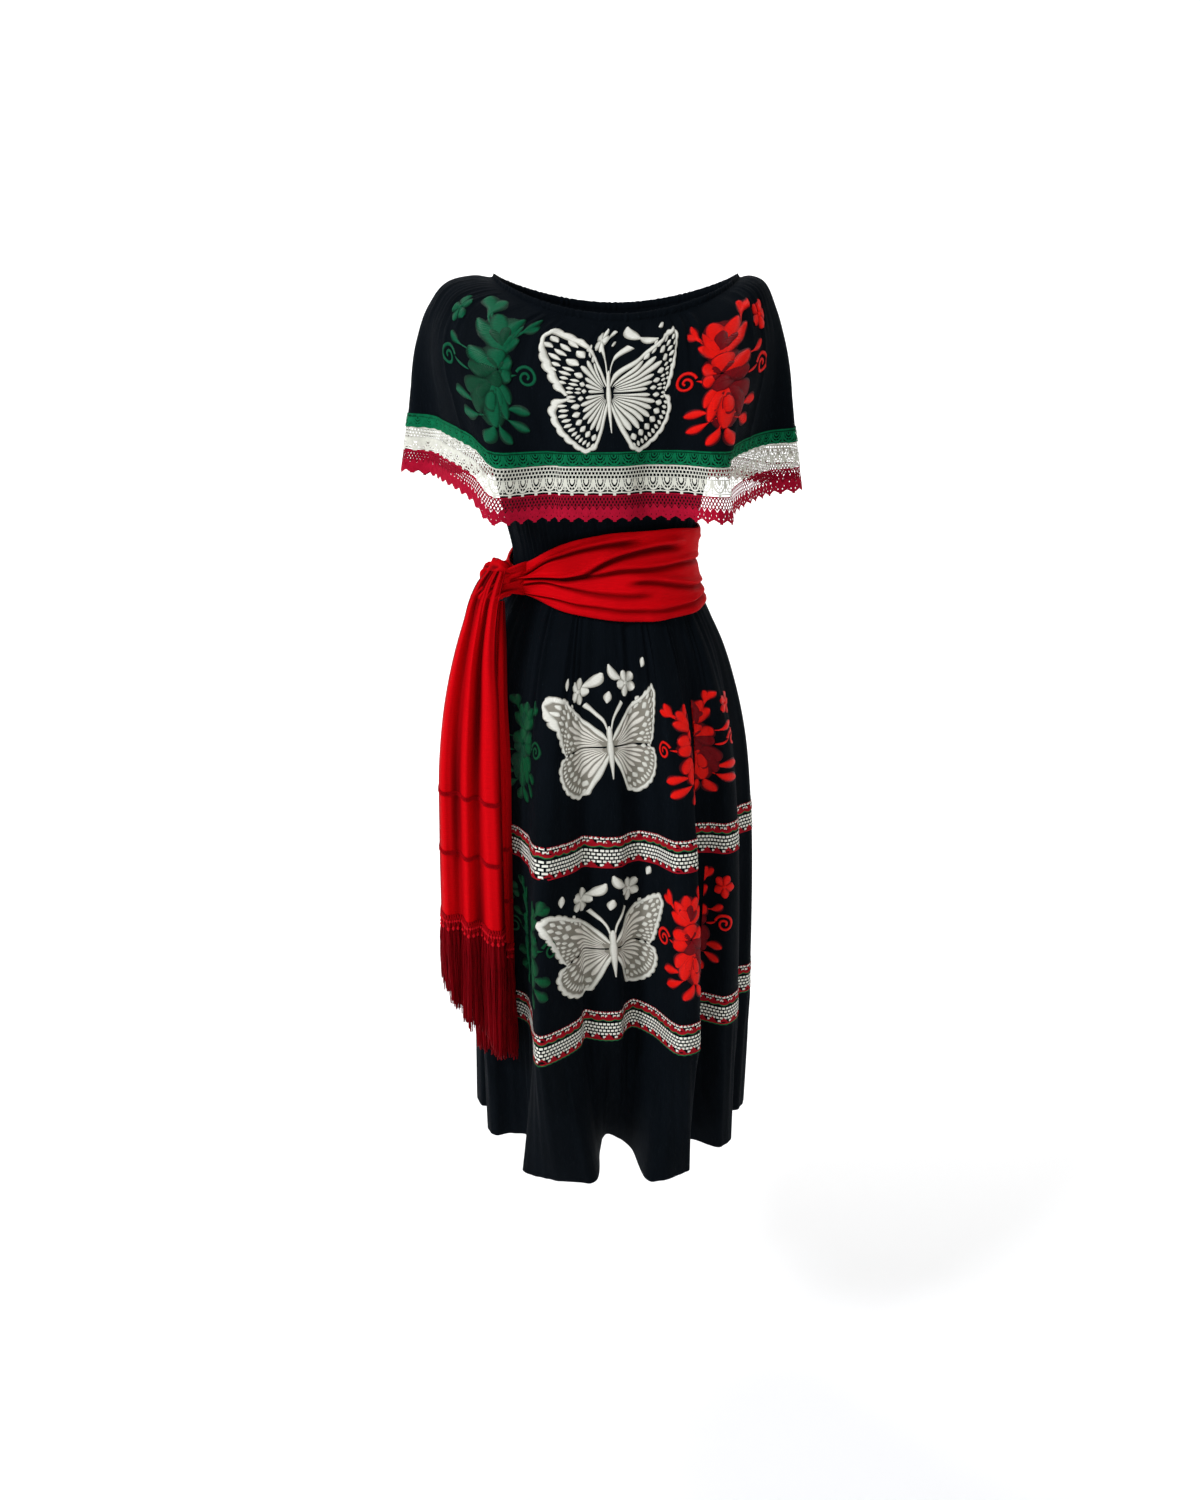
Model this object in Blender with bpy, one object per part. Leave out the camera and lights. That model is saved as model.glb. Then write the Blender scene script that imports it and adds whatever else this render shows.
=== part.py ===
# An off-shoulder dress in worn form: a gathered neckline with a wide flounce, a shirred bodice,
# a tiered skirt with lace trims, a bottom ruffle, and a long fringed sash knotted at one side.
# Metres, +Z up, front towards -Y. The origin is the middle of the neckline at shoulder height,
# where the wearer's shoulders hold the dress. Tables are in millimetres and degrees.
# Bearings run anticlockwise seen from above: 0 is +X, 90 the back, 180 -X and 270 the front.

import math

import bmesh
import bpy
import numpy as np

MM = 0.001
SEAM_GAP = 0.35 * MM
LAID_ON_GAP = 0.45 * MM
CLOTH_WALL = 1.6 * MM
LACE_WALL = 1.2 * MM
SASH_WALL = 2.0 * MM

WAIST_SEAM_Z = -346.0
UPPER_BAND_Z = (-671.0, -687.0, -712.0)
LOWER_BAND_Z = (-911.0, -927.0, -952.0)
HEM_Z = -1145.0
SKIRT_COLUMNS = 84
RUFFLE_COLUMNS = 132
RUFFLE_WAVES = 33
RUFFLE_WAVE_OUT = 5.5
FLOUNCE_COLUMNS = 72
CASING_COLUMNS = 72
BODICE_COLUMNS = 30


def table(columns, rows):
    names = columns.split()
    return [dict(zip(names, row)) for row in rows]


# The figure that the cloth hangs on, level by level. fold_share is how far the skirt's own
# folds have replaced the smooth oval, and gather is how far the gathers stand out.
FORM = table(
    "z half_width front back fold_share gather",
    [
        (-20, 146, 95, 86, 0, 0.4),
        (-60, 148, 103, 91, 0, 0.4),
        (-100, 150, 119, 97, 0, 0.4),
        (-160, 149, 131, 100, 0, 0.6),
        (-220, 140, 122, 95, 0, 0.6),
        (-290, 124, 102, 89, 0, 1.4),
        (-346, 114, 93, 86, 0, 1.6),
        (-372, 118, 95, 90, 0.00, 1.6),
        (-410, 136, 104, 101, 0.04, 1.4),
        (-452, 153, 114, 114, 0.11, 1.0),
        (-508, 168, 125, 125, 0.23, 0.5),
        (-582, 184, 136, 135, 0.38, 0),
        (-671, 194, 146, 142, 0.56, 0),
        (-712, 198, 150, 145, 0.64, 0),
        (-812, 203, 156, 150, 0.82, 0),
        (-911, 204, 160, 152, 0.96, 0),
        (-952, 204, 162, 152, 1.00, 0),
    ],
)

# Folds of the skirt where the ruffle is sewn on. reach is the crest's distance from the axis,
# crest its width, neck its width where it is tightest, and valley the reach of the hollow after it.
SKIRT_FOLDS = table(
    "bearing reach crest neck valley",
    [
        (186, 176, 26, 44, 158),
        (212, 188, 22, 40, 162),
        (252, 246, 14, 66, 172),
        (274, 176, 24, 40, 147),
        (299, 236, 30, 42, 166),
        (325, 214, 34, 50, 186),
        (352, 209, 30, 50, 180),
        (380, 207, 30, 46, 164),
        (407, 206, 34, 46, 150),
        (434, 192, 34, 48, 138),
        (461, 190, 34, 46, 140),
        (489, 194, 34, 46, 146),
        (516, 187, 30, 46, 150),
    ],
)

# Folds of the ruffle at its hem, in step with the skirt's.
HEM_FOLDS = table(
    "bearing reach crest neck valley",
    [
        (186, 178, 34, 42, 152),
        (212, 184, 26, 40, 150),
        (254, 209, 98, 76, 104),
        (295, 219, 58, 44, 150),
        (325, 212, 36, 46, 176),
        (352, 205, 34, 50, 176),
        (380, 206, 34, 46, 162),
        (407, 214, 38, 46, 148),
        (434, 202, 38, 48, 136),
        (461, 200, 38, 46, 138),
        (489, 204, 38, 46, 144),
        (516, 189, 34, 46, 148),
    ],
)

# Folds of the flounce at its lace edge.
FLOUNCE_FOLDS = table(
    "bearing reach crest neck valley",
    [
        (181, 252, 44, 62, 205),
        (232, 210, 20, 58, 163),
        (268, 171, 60, 84, 166),
        (311, 224, 22, 54, 202),
        (358, 253, 44, 62, 214),
        (404, 206, 34, 60, 152),
        (434, 150, 40, 60, 134),
        (466, 150, 40, 60, 150),
        (497, 208, 34, 60, 214),
    ],
)

# The flounce from the neckline to the lace edge: the oval that carries it, how far that oval
# sits to the left of the wearer, and how much of the drop is reached at the front and the sides.
FLOUNCE = table(
    "down half_width front back shift front_drop side_drop fold_share gather",
    [
        (0, 151.5, 104, 95, 18, 0.0, 0.0, 0.0, 0),
        (24, 188, 117, 104, 8, 0.09, 0.03, 0.03, 0.8),
        (55, 210, 131, 112, 2, 0.215, 0.15, 0.12, 0.3),
        (95, 226, 145, 121, 0, 0.385, 0.33, 0.32, 0),
        (135, 236, 155, 128, 0, 0.555, 0.55, 0.66, 0),
        (158, 241, 160, 131, 0, 0.64, 0.69, 0.87, 0),
        (176, 244, 163, 133, 0, 0.715, 0.76, 1.0, 0),
        (209, 249, 167, 136, 0, 0.862, 0.88, 1.0, 0),
        (240, 256, 170, 139, 0, 1.0, 1.0, 1.0, 0),
    ],
)
FLOUNCE_ROWS = (0, 24, 55, 95, 135, 158, 176)
GREEN_LACE = (158, 176)
WHITE_LACE = (176.5, 209)
RED_LACE = (209.5, 240)
SCALLOP = 4.0 * MM

# Height of the flounce's lace edge round the body.
FLOUNCE_EDGE = table(
    "bearing z",
    [
        (0, -254), (45, -263), (90, -267), (135, -262), (165, -245), (180, -233), (195, -232),
        (208, -241), (220, -261), (232, -274), (250, -272), (270, -270), (290, -270), (305, -273),
        (318, -275), (330, -266), (345, -258), (360, -254),
    ],
)

# The neckline casing: a soft tube over the elastic.
CASING = {
    "half_width": 150, "front": 102, "back": 93, "shift": 18,
    "height": 11.0, "depth": 5.4, "ripple": 0.8,
    "z_front": -41.0, "z_back": -31.0, "z_side": 3.0,
}

# The bodice below the neckline: how far round from the middle of the front or back it goes at
# each height, which leaves the armholes open.
BODICE_ROWS = table(
    "z reach",
    [(-100, 58), (-138, 76), (-172, 89.85), (-250, 89.85), (-300, 89.85), (-346, 89.85)],
)
BODICE_TOP_REACH = 46
SKIRT_LEVELS = (-346.35, -385, -430, -500, -585, -671, -712, -812, -911, -952)

# The sash round the waist: its upper and lower edge, and the knot that gathers it at bearing 211.
SASH = table(
    "bearing top bottom",
    [
        (211, -346, -370),
        (222, -334, -378),
        (240, -314, -391),
        (270, -298, -403),
        (315, -293, -406),
        (360, -303, -398),
        (420, -300, -398),
        (480, -304, -395),
        (540, -320, -388),
        (560, -334, -380),
        (571, -346, -370),
    ],
)
SASH_COLUMNS = 40
SASH_KNOT_GAP = 5.9
SASH_OFF_BODY = 3.4
SASH_BUNCH = 1.9
# Lengthwise creases: how far each line of the sash stands out from its inner face.
SASH_ROWS = table("share thick", [(0, 2.6), (0.2, 6.2), (0.38, 2.8), (0.62, 6.6), (0.82, 3.0), (1, 2.4)])

# The knot: rings from its right end to its left end, seen from the front, about its middle.
KNOT_CENTRE = (-128.5, -82.3, -357)
KNOT_SIDES = 14
KNOT = table(
    "along radius tall lift",
    [(-21, 8, 9, 1), (-17, 15, 17, 1), (-8, 19.7, 23, 0), (0, 19.7, 25, 0), (5, 17, 21, 0),
     (10, 19, 24, -1), (17, 16, 19, -3), (22, 9, 9, -5)],
)

# The two hanging ends of the sash, each pleated lengthwise: from the knot down.
TAIL_TILT = -0.32
FRONT_TAIL = table(
    "z x y width depth",
    [
        (-343, -130, -103, 24, 4),
        (-356, -137, -106, 32, 8),
        (-378, -145, -111, 38, 13),
        (-406, -151, -115, 43, 20),
        (-440, -157, -118, 52, 26),
        (-505, -163, -127, 70, 30),
        (-580, -167, -136, 80, 30),
        (-680, -168, -140, 84, 30),
        (-790, -168, -143, 86, 30),
    ],
)
BACK_TAIL = table(
    "z x y width depth",
    [
        (-383.4, -129, -88, 16, 6),
        (-432, -136, -99, 34, 8),
        (-505, -141, -113, 46, 8),
        (-580, -142, -121, 54, 8),
        (-680, -143, -126, 56, 8),
        (-760, -143, -127, 56, 8),
        (-836, -143, -127, 56, 8),
    ],
)
# The pleated sections, as shares of the tail's width and depth, left to right.
PLEATS = table(
    "across out",
    [(-0.50, 0.42), (-0.47, 0.0), (-0.36, -0.32), (-0.18, -0.06), (-0.02, -0.34), (0.14, -0.02),
     (0.30, -0.38), (0.45, -0.22), (0.50, 0.30)],
)
FLAT_PLEATS = table(
    "across out",
    [(-0.50, 0.10), (-0.25, -0.40), (0.0, -0.10), (0.25, -0.45), (0.50, 0.20)],
)
TAIL_COLUMNS = 18
BACK_TAIL_COLUMNS = 8
# The lower edge of the front end hangs lower on its right.
TAIL_SLANT = -16.0
FRONT_FRINGE = {"strands": 28, "length": 88, "slant": 98, "thick": 2.2}
BACK_FRINGE = {"strands": 14, "length": 152, "slant": 12, "thick": 2.2}


def read(rows, key, column, at):
    """A column of a table at any value of its key, on a smooth curve through the rows."""
    known = np.array([row[key] for row in rows], float)
    values = np.array([row[column] for row in rows], float)
    if known[0] > known[-1]:
        known, values = known[::-1], values[::-1]
    return hermite(known, values, at)


def hermite(known, values, at):
    slope = np.gradient(values, known)
    at = np.clip(np.asarray(at, float), known[0], known[-1])
    i = np.clip(np.searchsorted(known, at) - 1, 0, len(known) - 2)
    span = known[i + 1] - known[i]
    t = (at - known[i]) / span
    start = (1 + 2 * t) * (1 - t) ** 2 * values[i] + t * (1 - t) ** 2 * span * slope[i]
    end = t * t * (3 - 2 * t) * values[i + 1] + t * t * (t - 1) * span * slope[i + 1]
    return start + end


def oval(bearing, half_width, front, back, square=2.2):
    """The plan point of a slightly squared oval at a bearing, in millimetres."""
    c, s = np.cos(np.radians(bearing)), np.sin(np.radians(bearing))
    deep = np.where(s < 0, front, back)
    size = (np.abs(c) ** square + np.abs(s) ** square) ** (-1 / square)
    return half_width * c * size, deep * s * size


def fold_ring(folds, above=None):
    """A closed plan curve through a table of folds, with the cloth shared evenly in each half.

    A ring sewn under another takes its folds' places from the one above.

    Each fold gives two feet, two shoulders and the hollow after it. Beside x and y it keeps the
    bearing where that cloth sits on the smooth oval above.
    """
    points = []
    count = len(folds)
    for k, fold in enumerate(folds):
        before = folds[k - 1]["bearing"] - (360 if k == 0 else 0)
        after = folds[(k + 1) % count]["bearing"] + (360 if k == count - 1 else 0)
        angle = fold["bearing"]
        to_left, to_right = angle - before, after - angle
        left_valley = folds[k - 1]["valley"]
        for side, share, width, radius in (
            (-1, 0.30 * to_left, fold["neck"], left_valley + 0.3 * (fold["reach"] - left_valley)),
            (-1, 0.12 * to_left, fold["crest"], fold["reach"]),
            (1, 0.12 * to_right, fold["crest"], fold["reach"]),
            (1, 0.30 * to_right, fold["neck"], fold["valley"] + 0.3 * (fold["reach"] - fold["valley"])),
        ):
            out = math.radians(angle)
            x = radius * math.cos(out) - side * width / 2 * math.sin(out)
            y = radius * math.sin(out) + side * width / 2 * math.cos(out)
            points.append((x, y, angle + side * share))
        middle = math.radians(angle + to_right / 2)
        points.append((fold["valley"] * math.cos(middle), fold["valley"] * math.sin(middle), angle + to_right / 2))
    turn = np.array([0, 0, 360.0])
    points = np.array(points)
    around = np.vstack([points[-8:] - turn, points, points[:8] + turn])
    step = np.sqrt(np.hypot(*np.diff(around[:, :2], axis=0).T))
    t = np.concatenate([[0], np.cumsum(step)])
    fine = np.linspace(t[4], t[-5], 4000)
    x, y = hermite(t, around[:, 0], fine), hermite(t, around[:, 1], fine)
    home = np.interp(fine, t, around[:, 2])
    marks, shares = [180, 360, 540], [0, 0.5, 1]
    if above is not None:
        marks = sorted(marks + [fold["bearing"] for fold in folds])
        shares = np.interp(marks, above["home"], above["share"])
    ring = {"share": [], "x": [], "y": [], "home": [], "girth": []}
    for k in range(len(marks) - 1):
        inside = (home >= marks[k]) & (home <= marks[k + 1])
        hx, hy, hb = x[inside], y[inside], home[inside]
        run = np.concatenate([[0], np.cumsum(np.hypot(np.diff(hx), np.diff(hy)))])
        ring["share"].append(shares[k] + (shares[k + 1] - shares[k]) * run / run[-1])
        ring["x"].append(hx)
        ring["y"].append(hy)
        ring["home"].append(hb)
        ring["girth"].append([run[-1]])
    return {key: np.concatenate(value) for key, value in ring.items()}


def around(ring, share):
    """Plan x and y of a fold ring, and the bearing on the smooth oval, at shares of the cloth."""
    share = np.clip(share, 0, 1)
    return [np.interp(share, ring["share"], ring[key]) for key in ("x", "y", "home")]


SKIRT_RING = fold_ring(SKIRT_FOLDS)
HEM_RING = fold_ring(HEM_FOLDS, SKIRT_RING)
FLOUNCE_RING = fold_ring(FLOUNCE_FOLDS)


def skirt_surface(share, z):
    x, y, home = around(SKIRT_RING, share)
    ox, oy = oval(home, *(read(FORM, "z", c, z) for c in ("half_width", "front", "back")))
    fold = np.clip(read(FORM, "z", "fold_share", z), 0, 1)
    return ox + (x - ox) * fold, oy + (y - oy) * fold, z + 0 * x


def ruffle_surface(share, z):
    top_x, top_y, _ = around(SKIRT_RING, share)
    low_x, low_y, home = around(HEM_RING, share)
    down = (LOWER_BAND_Z[2] - z) / (LOWER_BAND_Z[2] - HEM_Z)
    x, y = top_x + (low_x - top_x) * down, top_y + (low_y - top_y) * down
    wave = RUFFLE_WAVE_OUT * np.clip(down * 1.6, 0, 1) * np.sin(2 * math.pi * RUFFLE_WAVES * share)
    out = np.hypot(x, y)
    return x * (1 + wave / out), y * (1 + wave / out), z + 0 * x


def casing_z(bearing):
    side = np.abs(np.cos(np.radians(bearing))) ** 2
    middle = np.where(np.sin(np.radians(bearing)) < 0, CASING["z_front"], CASING["z_back"])
    return middle + (CASING["z_side"] - middle) * side


def casing_underside(bearing):
    return casing_z(bearing) - CASING["height"] / 2 - 1.4 * SEAM_GAP / MM


def flounce_surface(share, down):
    x, y, home = around(FLOUNCE_RING, share)
    get = {c: read(FLOUNCE, "down", c, down) for c in FLOUNCE[0]}
    ox, oy = oval(home, get["half_width"], get["front"], get["back"])
    ox = ox + get["shift"]
    flare = 0.94 + 0.06 * np.clip((down - 135) / 105, 0, 1)
    mix = np.clip(get["fold_share"], 0, 1)
    side = np.abs(np.cos(np.radians(home))) ** 2
    top = casing_underside(home)
    edge = read(FLOUNCE_EDGE, "bearing", "z", home % 360)
    drop = get["front_drop"] + (get["side_drop"] - get["front_drop"]) * side
    return ox + (x * flare - ox) * mix, oy + (y * flare - oy) * mix, top + (edge - top) * drop


def grid_of(surface, across, down):
    """Points of a surface in metres: one row for each value of down."""
    rows = [np.stack(surface(np.asarray(across, float), np.full(len(across), v, float)), 1) for v in down]
    return np.array(rows) * MM


def normals_of(grid, closed, level=1.0):
    """Outward normals of a grid that runs anticlockwise across and downwards.

    level takes the upward part out of them, row by row, so that an edge stays at its own height.
    """
    if closed:
        wide = np.concatenate([grid[:, -1:], grid, grid[:, :1]], axis=1)
        across = (wide[:, 2:] - wide[:, :-2]) / 2
    else:
        across = np.gradient(grid, axis=1)
    down = np.gradient(grid, axis=0)
    normal = np.cross(down, across)
    normal /= np.linalg.norm(normal, axis=2, keepdims=True)
    normal[:, :, 2] *= 1 - np.broadcast_to(level, grid.shape[0])[:, None]
    return normal / np.linalg.norm(normal, axis=2, keepdims=True)


def add_object(name, points, faces, material, smooth=True):
    mesh = bpy.data.meshes.new(name)
    mesh.from_pydata([tuple(p) for p in points], [], faces)
    fixer = bmesh.new()
    fixer.from_mesh(mesh)
    bmesh.ops.recalc_face_normals(fixer, faces=fixer.faces)
    fixer.to_mesh(mesh)
    fixer.free()
    mesh.materials.append(material)
    if smooth:
        mesh.shade_smooth()
        mesh.set_sharp_from_angle(angle=math.radians(50))
    obj = bpy.data.objects.new(name, mesh)
    bpy.context.scene.collection.objects.link(obj)
    return obj


def wall(name, outer, inner, closed, material):
    """A closed wall between two grids of points: a ring if closed, else a panel with four edges."""
    rows, columns = outer.shape[:2]
    points = np.concatenate([outer.reshape(-1, 3), inner.reshape(-1, 3)])
    back = rows * columns
    faces = []
    steps = columns if closed else columns - 1
    for i in range(steps):
        n = (i + 1) % columns
        for j in range(rows - 1):
            a, b, c, d = (j * columns + i, (j + 1) * columns + i, (j + 1) * columns + n, j * columns + n)
            faces.append((a, b, c, d))
            faces.append((back + a, back + d, back + c, back + b))
        low = (rows - 1) * columns
        faces.append((i, n, back + n, back + i))
        faces.append((low + i, back + low + i, back + low + n, low + n))
    if not closed:
        for i in (0, columns - 1):
            for j in range(rows - 1):
                a, b = j * columns + i, (j + 1) * columns + i
                faces.append((a, back + a, back + b, b))
    return add_object(name, points, faces, material)


def cloth_panel(name, grid, normal, closed, material, thick=CLOTH_WALL, gather=None):
    """A panel of cloth: its outer points, thickened inwards. gather raises every other column."""
    outer = grid
    if gather is not None:
        parity = (np.arange(grid.shape[1]) % 2)[None, :, None]
        outer = grid + normal * parity * np.array(gather)[:, None, None] * MM
    return wall(name, outer, grid - normal * thick, closed, material)


def laid_on(name, grid, low, high, material):
    """A trim made from the two rows of the panel's own points that it lies between, moved out."""
    part = np.array([grid[0] + (grid[1] - grid[0]) * share for share in (low, high)])
    out = normals_of(grid, True)
    wall(name, part + out * (LAID_ON_GAP + LACE_WALL), part + out * LAID_ON_GAP, True, material)


def make_material(name, colour, roughness):
    material = bpy.data.materials.new(name)
    material.use_nodes = True
    shader = material.node_tree.nodes["Principled BSDF"]
    shader.inputs["Base Color"].default_value = (*colour, 1.0)
    shader.inputs["Roughness"].default_value = roughness
    shader.inputs["Metallic"].default_value = 0.0
    return material


def two_halves(name, surface, columns, levels, material, gather=None, level=1.0):
    """A ring of cloth cut as a front and a back, parted at the side seams by a small gap."""
    grid = grid_of(surface, np.arange(columns) / columns, levels)
    normal = normals_of(grid, True, level)
    along = np.roll(grid, -1, axis=1) - np.roll(grid, 1, axis=1)
    along /= np.linalg.norm(along, axis=2, keepdims=True)
    for k, half in enumerate(("front", "back")):
        pick = (np.arange(columns // 2 + 1) + k * columns // 2) % columns
        part = grid[:, pick]
        part[:, 0] += along[:, pick[0]] * SEAM_GAP / 2
        part[:, -1] -= along[:, pick[-1]] * SEAM_GAP / 2
        cloth_panel(f"{name}_{half}", part, normal[:, pick], False, material, gather=gather)


def build_bodice(black):
    """Front and back from the neckline to the waist, with the armhole cut out at each side."""
    spread = np.linspace(-1, 1, BODICE_COLUMNS + 1)
    for half, middle in (("front", 270), ("back", 450)):
        bearing = middle + spread * BODICE_TOP_REACH
        inset = CASING["depth"] / 2 - 1.0
        x, y = oval(bearing, *(CASING[c] - inset for c in ("half_width", "front", "back")))
        rows = [np.stack([x + CASING["shift"], y, casing_underside(bearing) - 0.2], 1) * MM]
        for row in BODICE_ROWS:
            sizes = (read(FORM, "z", c, row["z"]) for c in ("half_width", "front", "back"))
            x, y = oval(middle + spread * row["reach"], *sizes)
            rows.append(np.stack([x, y, row["z"] + 0 * x], 1) * MM)
        gather = [0.8] + [read(FORM, "z", "gather", row["z"]) for row in BODICE_ROWS]
        grid = np.array(rows)
        cloth_panel("bodice_" + half, grid, normals_of(grid, False), False, black, gather=gather)


def build_skirt(black, lace):
    """Front and back from the waist to the ruffle, and the four trims laid on them."""
    gather = np.clip(read(FORM, "z", "gather", SKIRT_LEVELS), 0, None)
    two_halves("skirt", skirt_surface, SKIRT_COLUMNS, SKIRT_LEVELS, black, gather)
    shares = np.arange(SKIRT_COLUMNS) / SKIRT_COLUMNS
    for band, (top, middle, bottom) in (("upper", UPPER_BAND_Z), ("lower", LOWER_BAND_Z)):
        grid = grid_of(skirt_surface, shares, [top, bottom])
        join, gap = (middle - top) / (bottom - top), 0.5 * SEAM_GAP / MM / (top - bottom)
        laid_on(f"trim_{band}_narrow", grid, 0.0, join - gap, lace)
        laid_on(f"trim_{band}_wide", grid, join + gap, 1.0, lace)


def build_ruffle(black):
    """The gathered bottom tier, cut as a front and a back."""
    levels = [LOWER_BAND_Z[2] - SEAM_GAP / MM, -1020, HEM_Z]
    two_halves("ruffle", ruffle_surface, RUFFLE_COLUMNS, levels, black)


def build_flounce(black, green, white, red):
    """The flounce's front and back, and the three laces at its edge."""
    gather = np.clip(read(FLOUNCE, "down", "gather", FLOUNCE_ROWS), 0, None)
    level = np.array([0.0, 0.0, 0.0, 0.2, 0.6, 1.0, 1.0])
    two_halves("flounce", flounce_surface, FLOUNCE_COLUMNS, FLOUNCE_ROWS, black, gather, level)
    shares = np.arange(FLOUNCE_COLUMNS) / FLOUNCE_COLUMNS
    laid_on("flounce_lace_green", grid_of(flounce_surface, shares, GREEN_LACE), 0.0, 1.0, green)
    grid = grid_of(flounce_surface, shares, WHITE_LACE)
    cloth_panel("flounce_lace_white", grid, normals_of(grid, True), True, white, LACE_WALL)
    grid = grid_of(flounce_surface, shares, RED_LACE)
    fine = np.repeat(grid, 2, axis=1)
    fine[:, 1::2] = (grid + np.roll(grid, -1, axis=1)) / 2
    normal = normals_of(fine, True)
    fine[1, ::2, 2] += SCALLOP
    wall("flounce_lace_red", fine, fine - normal * LACE_WALL, True, red)


def build_casing(black):
    """The neckline casing: a gathered soft tube round the shoulders."""
    bearing = np.arange(CASING_COLUMNS) * 360 / CASING_COLUMNS
    x, y = oval(bearing, CASING["half_width"], CASING["front"], CASING["back"])
    centre = np.stack([x + CASING["shift"], y, casing_z(bearing)], 1)
    out = np.stack([np.cos(np.radians(bearing)), np.sin(np.radians(bearing)), 0 * x], 1)
    ripple = CASING["ripple"] * (np.arange(CASING_COLUMNS) % 2)[:, None]
    high = np.array([0, 0, CASING["height"] / 2])
    deep = out * (CASING["depth"] / 2)
    outer = np.array([centre + deep + high + ripple * out, centre + deep - high + ripple * out])
    inner = np.array([centre - deep + high, centre - deep - high])
    wall("neck_casing", outer * MM, inner * MM, True, black)


def reach_at_row(bearing, z):
    """How far a row of the bodice or the skirt stands from the axis at some bearings."""
    if z > WAIST_SEAM_Z:
        x, y = oval(bearing, *(read(FORM, "z", c, z) for c in ("half_width", "front", "back")))
        return np.hypot(x, y)
    x, y, _ = skirt_surface(np.linspace(0, 1, 721), np.full(721, z))
    return np.interp(bearing % 360, np.degrees(np.arctan2(y, x)) % 360, np.hypot(x, y), period=360)


def build_sash_wrap(red):
    """The sash round the waist: drawn narrow at the knot and creased along its length."""
    bearing = 211 + np.linspace(SASH_KNOT_GAP, 360 - SASH_KNOT_GAP, SASH_COLUMNS + 1)
    rows = [row["z"] for row in BODICE_ROWS[3:]] + list(SKIRT_LEVELS[1:4])
    reaches = np.array([reach_at_row(bearing, z) for z in rows])
    away = np.minimum(bearing - 211, 571 - bearing)
    bunch = 1 + SASH_BUNCH * np.exp(-((away / 16) ** 2))
    top, bottom = read(SASH, "bearing", "top", bearing), read(SASH, "bearing", "bottom", bearing)
    c, s = np.cos(np.radians(bearing)), np.sin(np.radians(bearing))
    outer, inner = [], []
    for row in SASH_ROWS:
        z = top + (bottom - top) * row["share"]
        near = [np.interp(-z[k], [-v for v in rows], reaches[:, k]) for k in range(len(z))]
        near = np.array(near) + SASH_OFF_BODY
        far = near + row["thick"] * bunch
        inner.append(np.stack([near * c, near * s, z], 1))
        outer.append(np.stack([far * c, far * s, z], 1))
    wall("sash_wrap", np.array(outer) * MM, np.array(inner) * MM, False, red)


def build_knot(red):
    """The knot: a rounded lump of wound cloth with a groove round it, tilted down to the left."""
    tangent = np.array([-0.86, 0.42, -0.28])
    up = np.array([-0.25, 0.1, 0.96])
    out = np.cross(tangent, up)
    points, faces = [], []
    for row in KNOT:
        middle = np.array(KNOT_CENTRE) + tangent * row["along"] + np.array([0, 0, row["lift"]])
        for k in range(KNOT_SIDES):
            angle = 2 * math.pi * k / KNOT_SIDES
            bulge = 1.0 + 0.07 * (k % 2)
            side = out * row["radius"] * math.cos(angle) + up * row["tall"] * math.sin(angle)
            points.append((middle + side * bulge) * MM)
    last = (len(KNOT) - 1) * KNOT_SIDES
    for r in range(len(KNOT) - 1):
        for k in range(KNOT_SIDES):
            a, n = r * KNOT_SIDES + k, r * KNOT_SIDES + (k + 1) % KNOT_SIDES
            faces.append((a, n, n + KNOT_SIDES, a + KNOT_SIDES))
    faces.append(tuple(range(KNOT_SIDES)))
    faces.append(tuple(range(last, last + KNOT_SIDES)))
    add_object("sash_knot", points, faces, red)


def tail_grid(rows, pleats, columns, levels, slant=0.0):
    """The hanging end's outer points: its pleated section at each level."""
    order = np.linspace(0, 1, len(pleats))
    fine = np.linspace(0, 1, 400)
    across = hermite(order, np.array([p["across"] for p in pleats]), fine)
    out = hermite(order, np.array([p["out"] for p in pleats]), fine)
    run = np.concatenate([[0], np.cumsum(np.hypot(np.diff(across), 0.35 * np.diff(out)))])
    at = np.linspace(0, run[-1], columns + 1)
    across, out = np.interp(at, run, across), np.interp(at, run, out)
    grid = []
    for level in levels:
        z = rows[0]["z"] + (rows[-1]["z"] - rows[0]["z"]) * level
        get = {c: float(read(rows, "z", c, z)) for c in ("x", "y", "width", "depth")}
        x = get["x"] + across * get["width"]
        y = get["y"] + out * get["depth"] + TAIL_TILT * across * get["width"]
        grid.append(np.stack([x, y, z + slant * level * (across + 0.5)], 1))
    return np.array(grid) * MM


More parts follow.
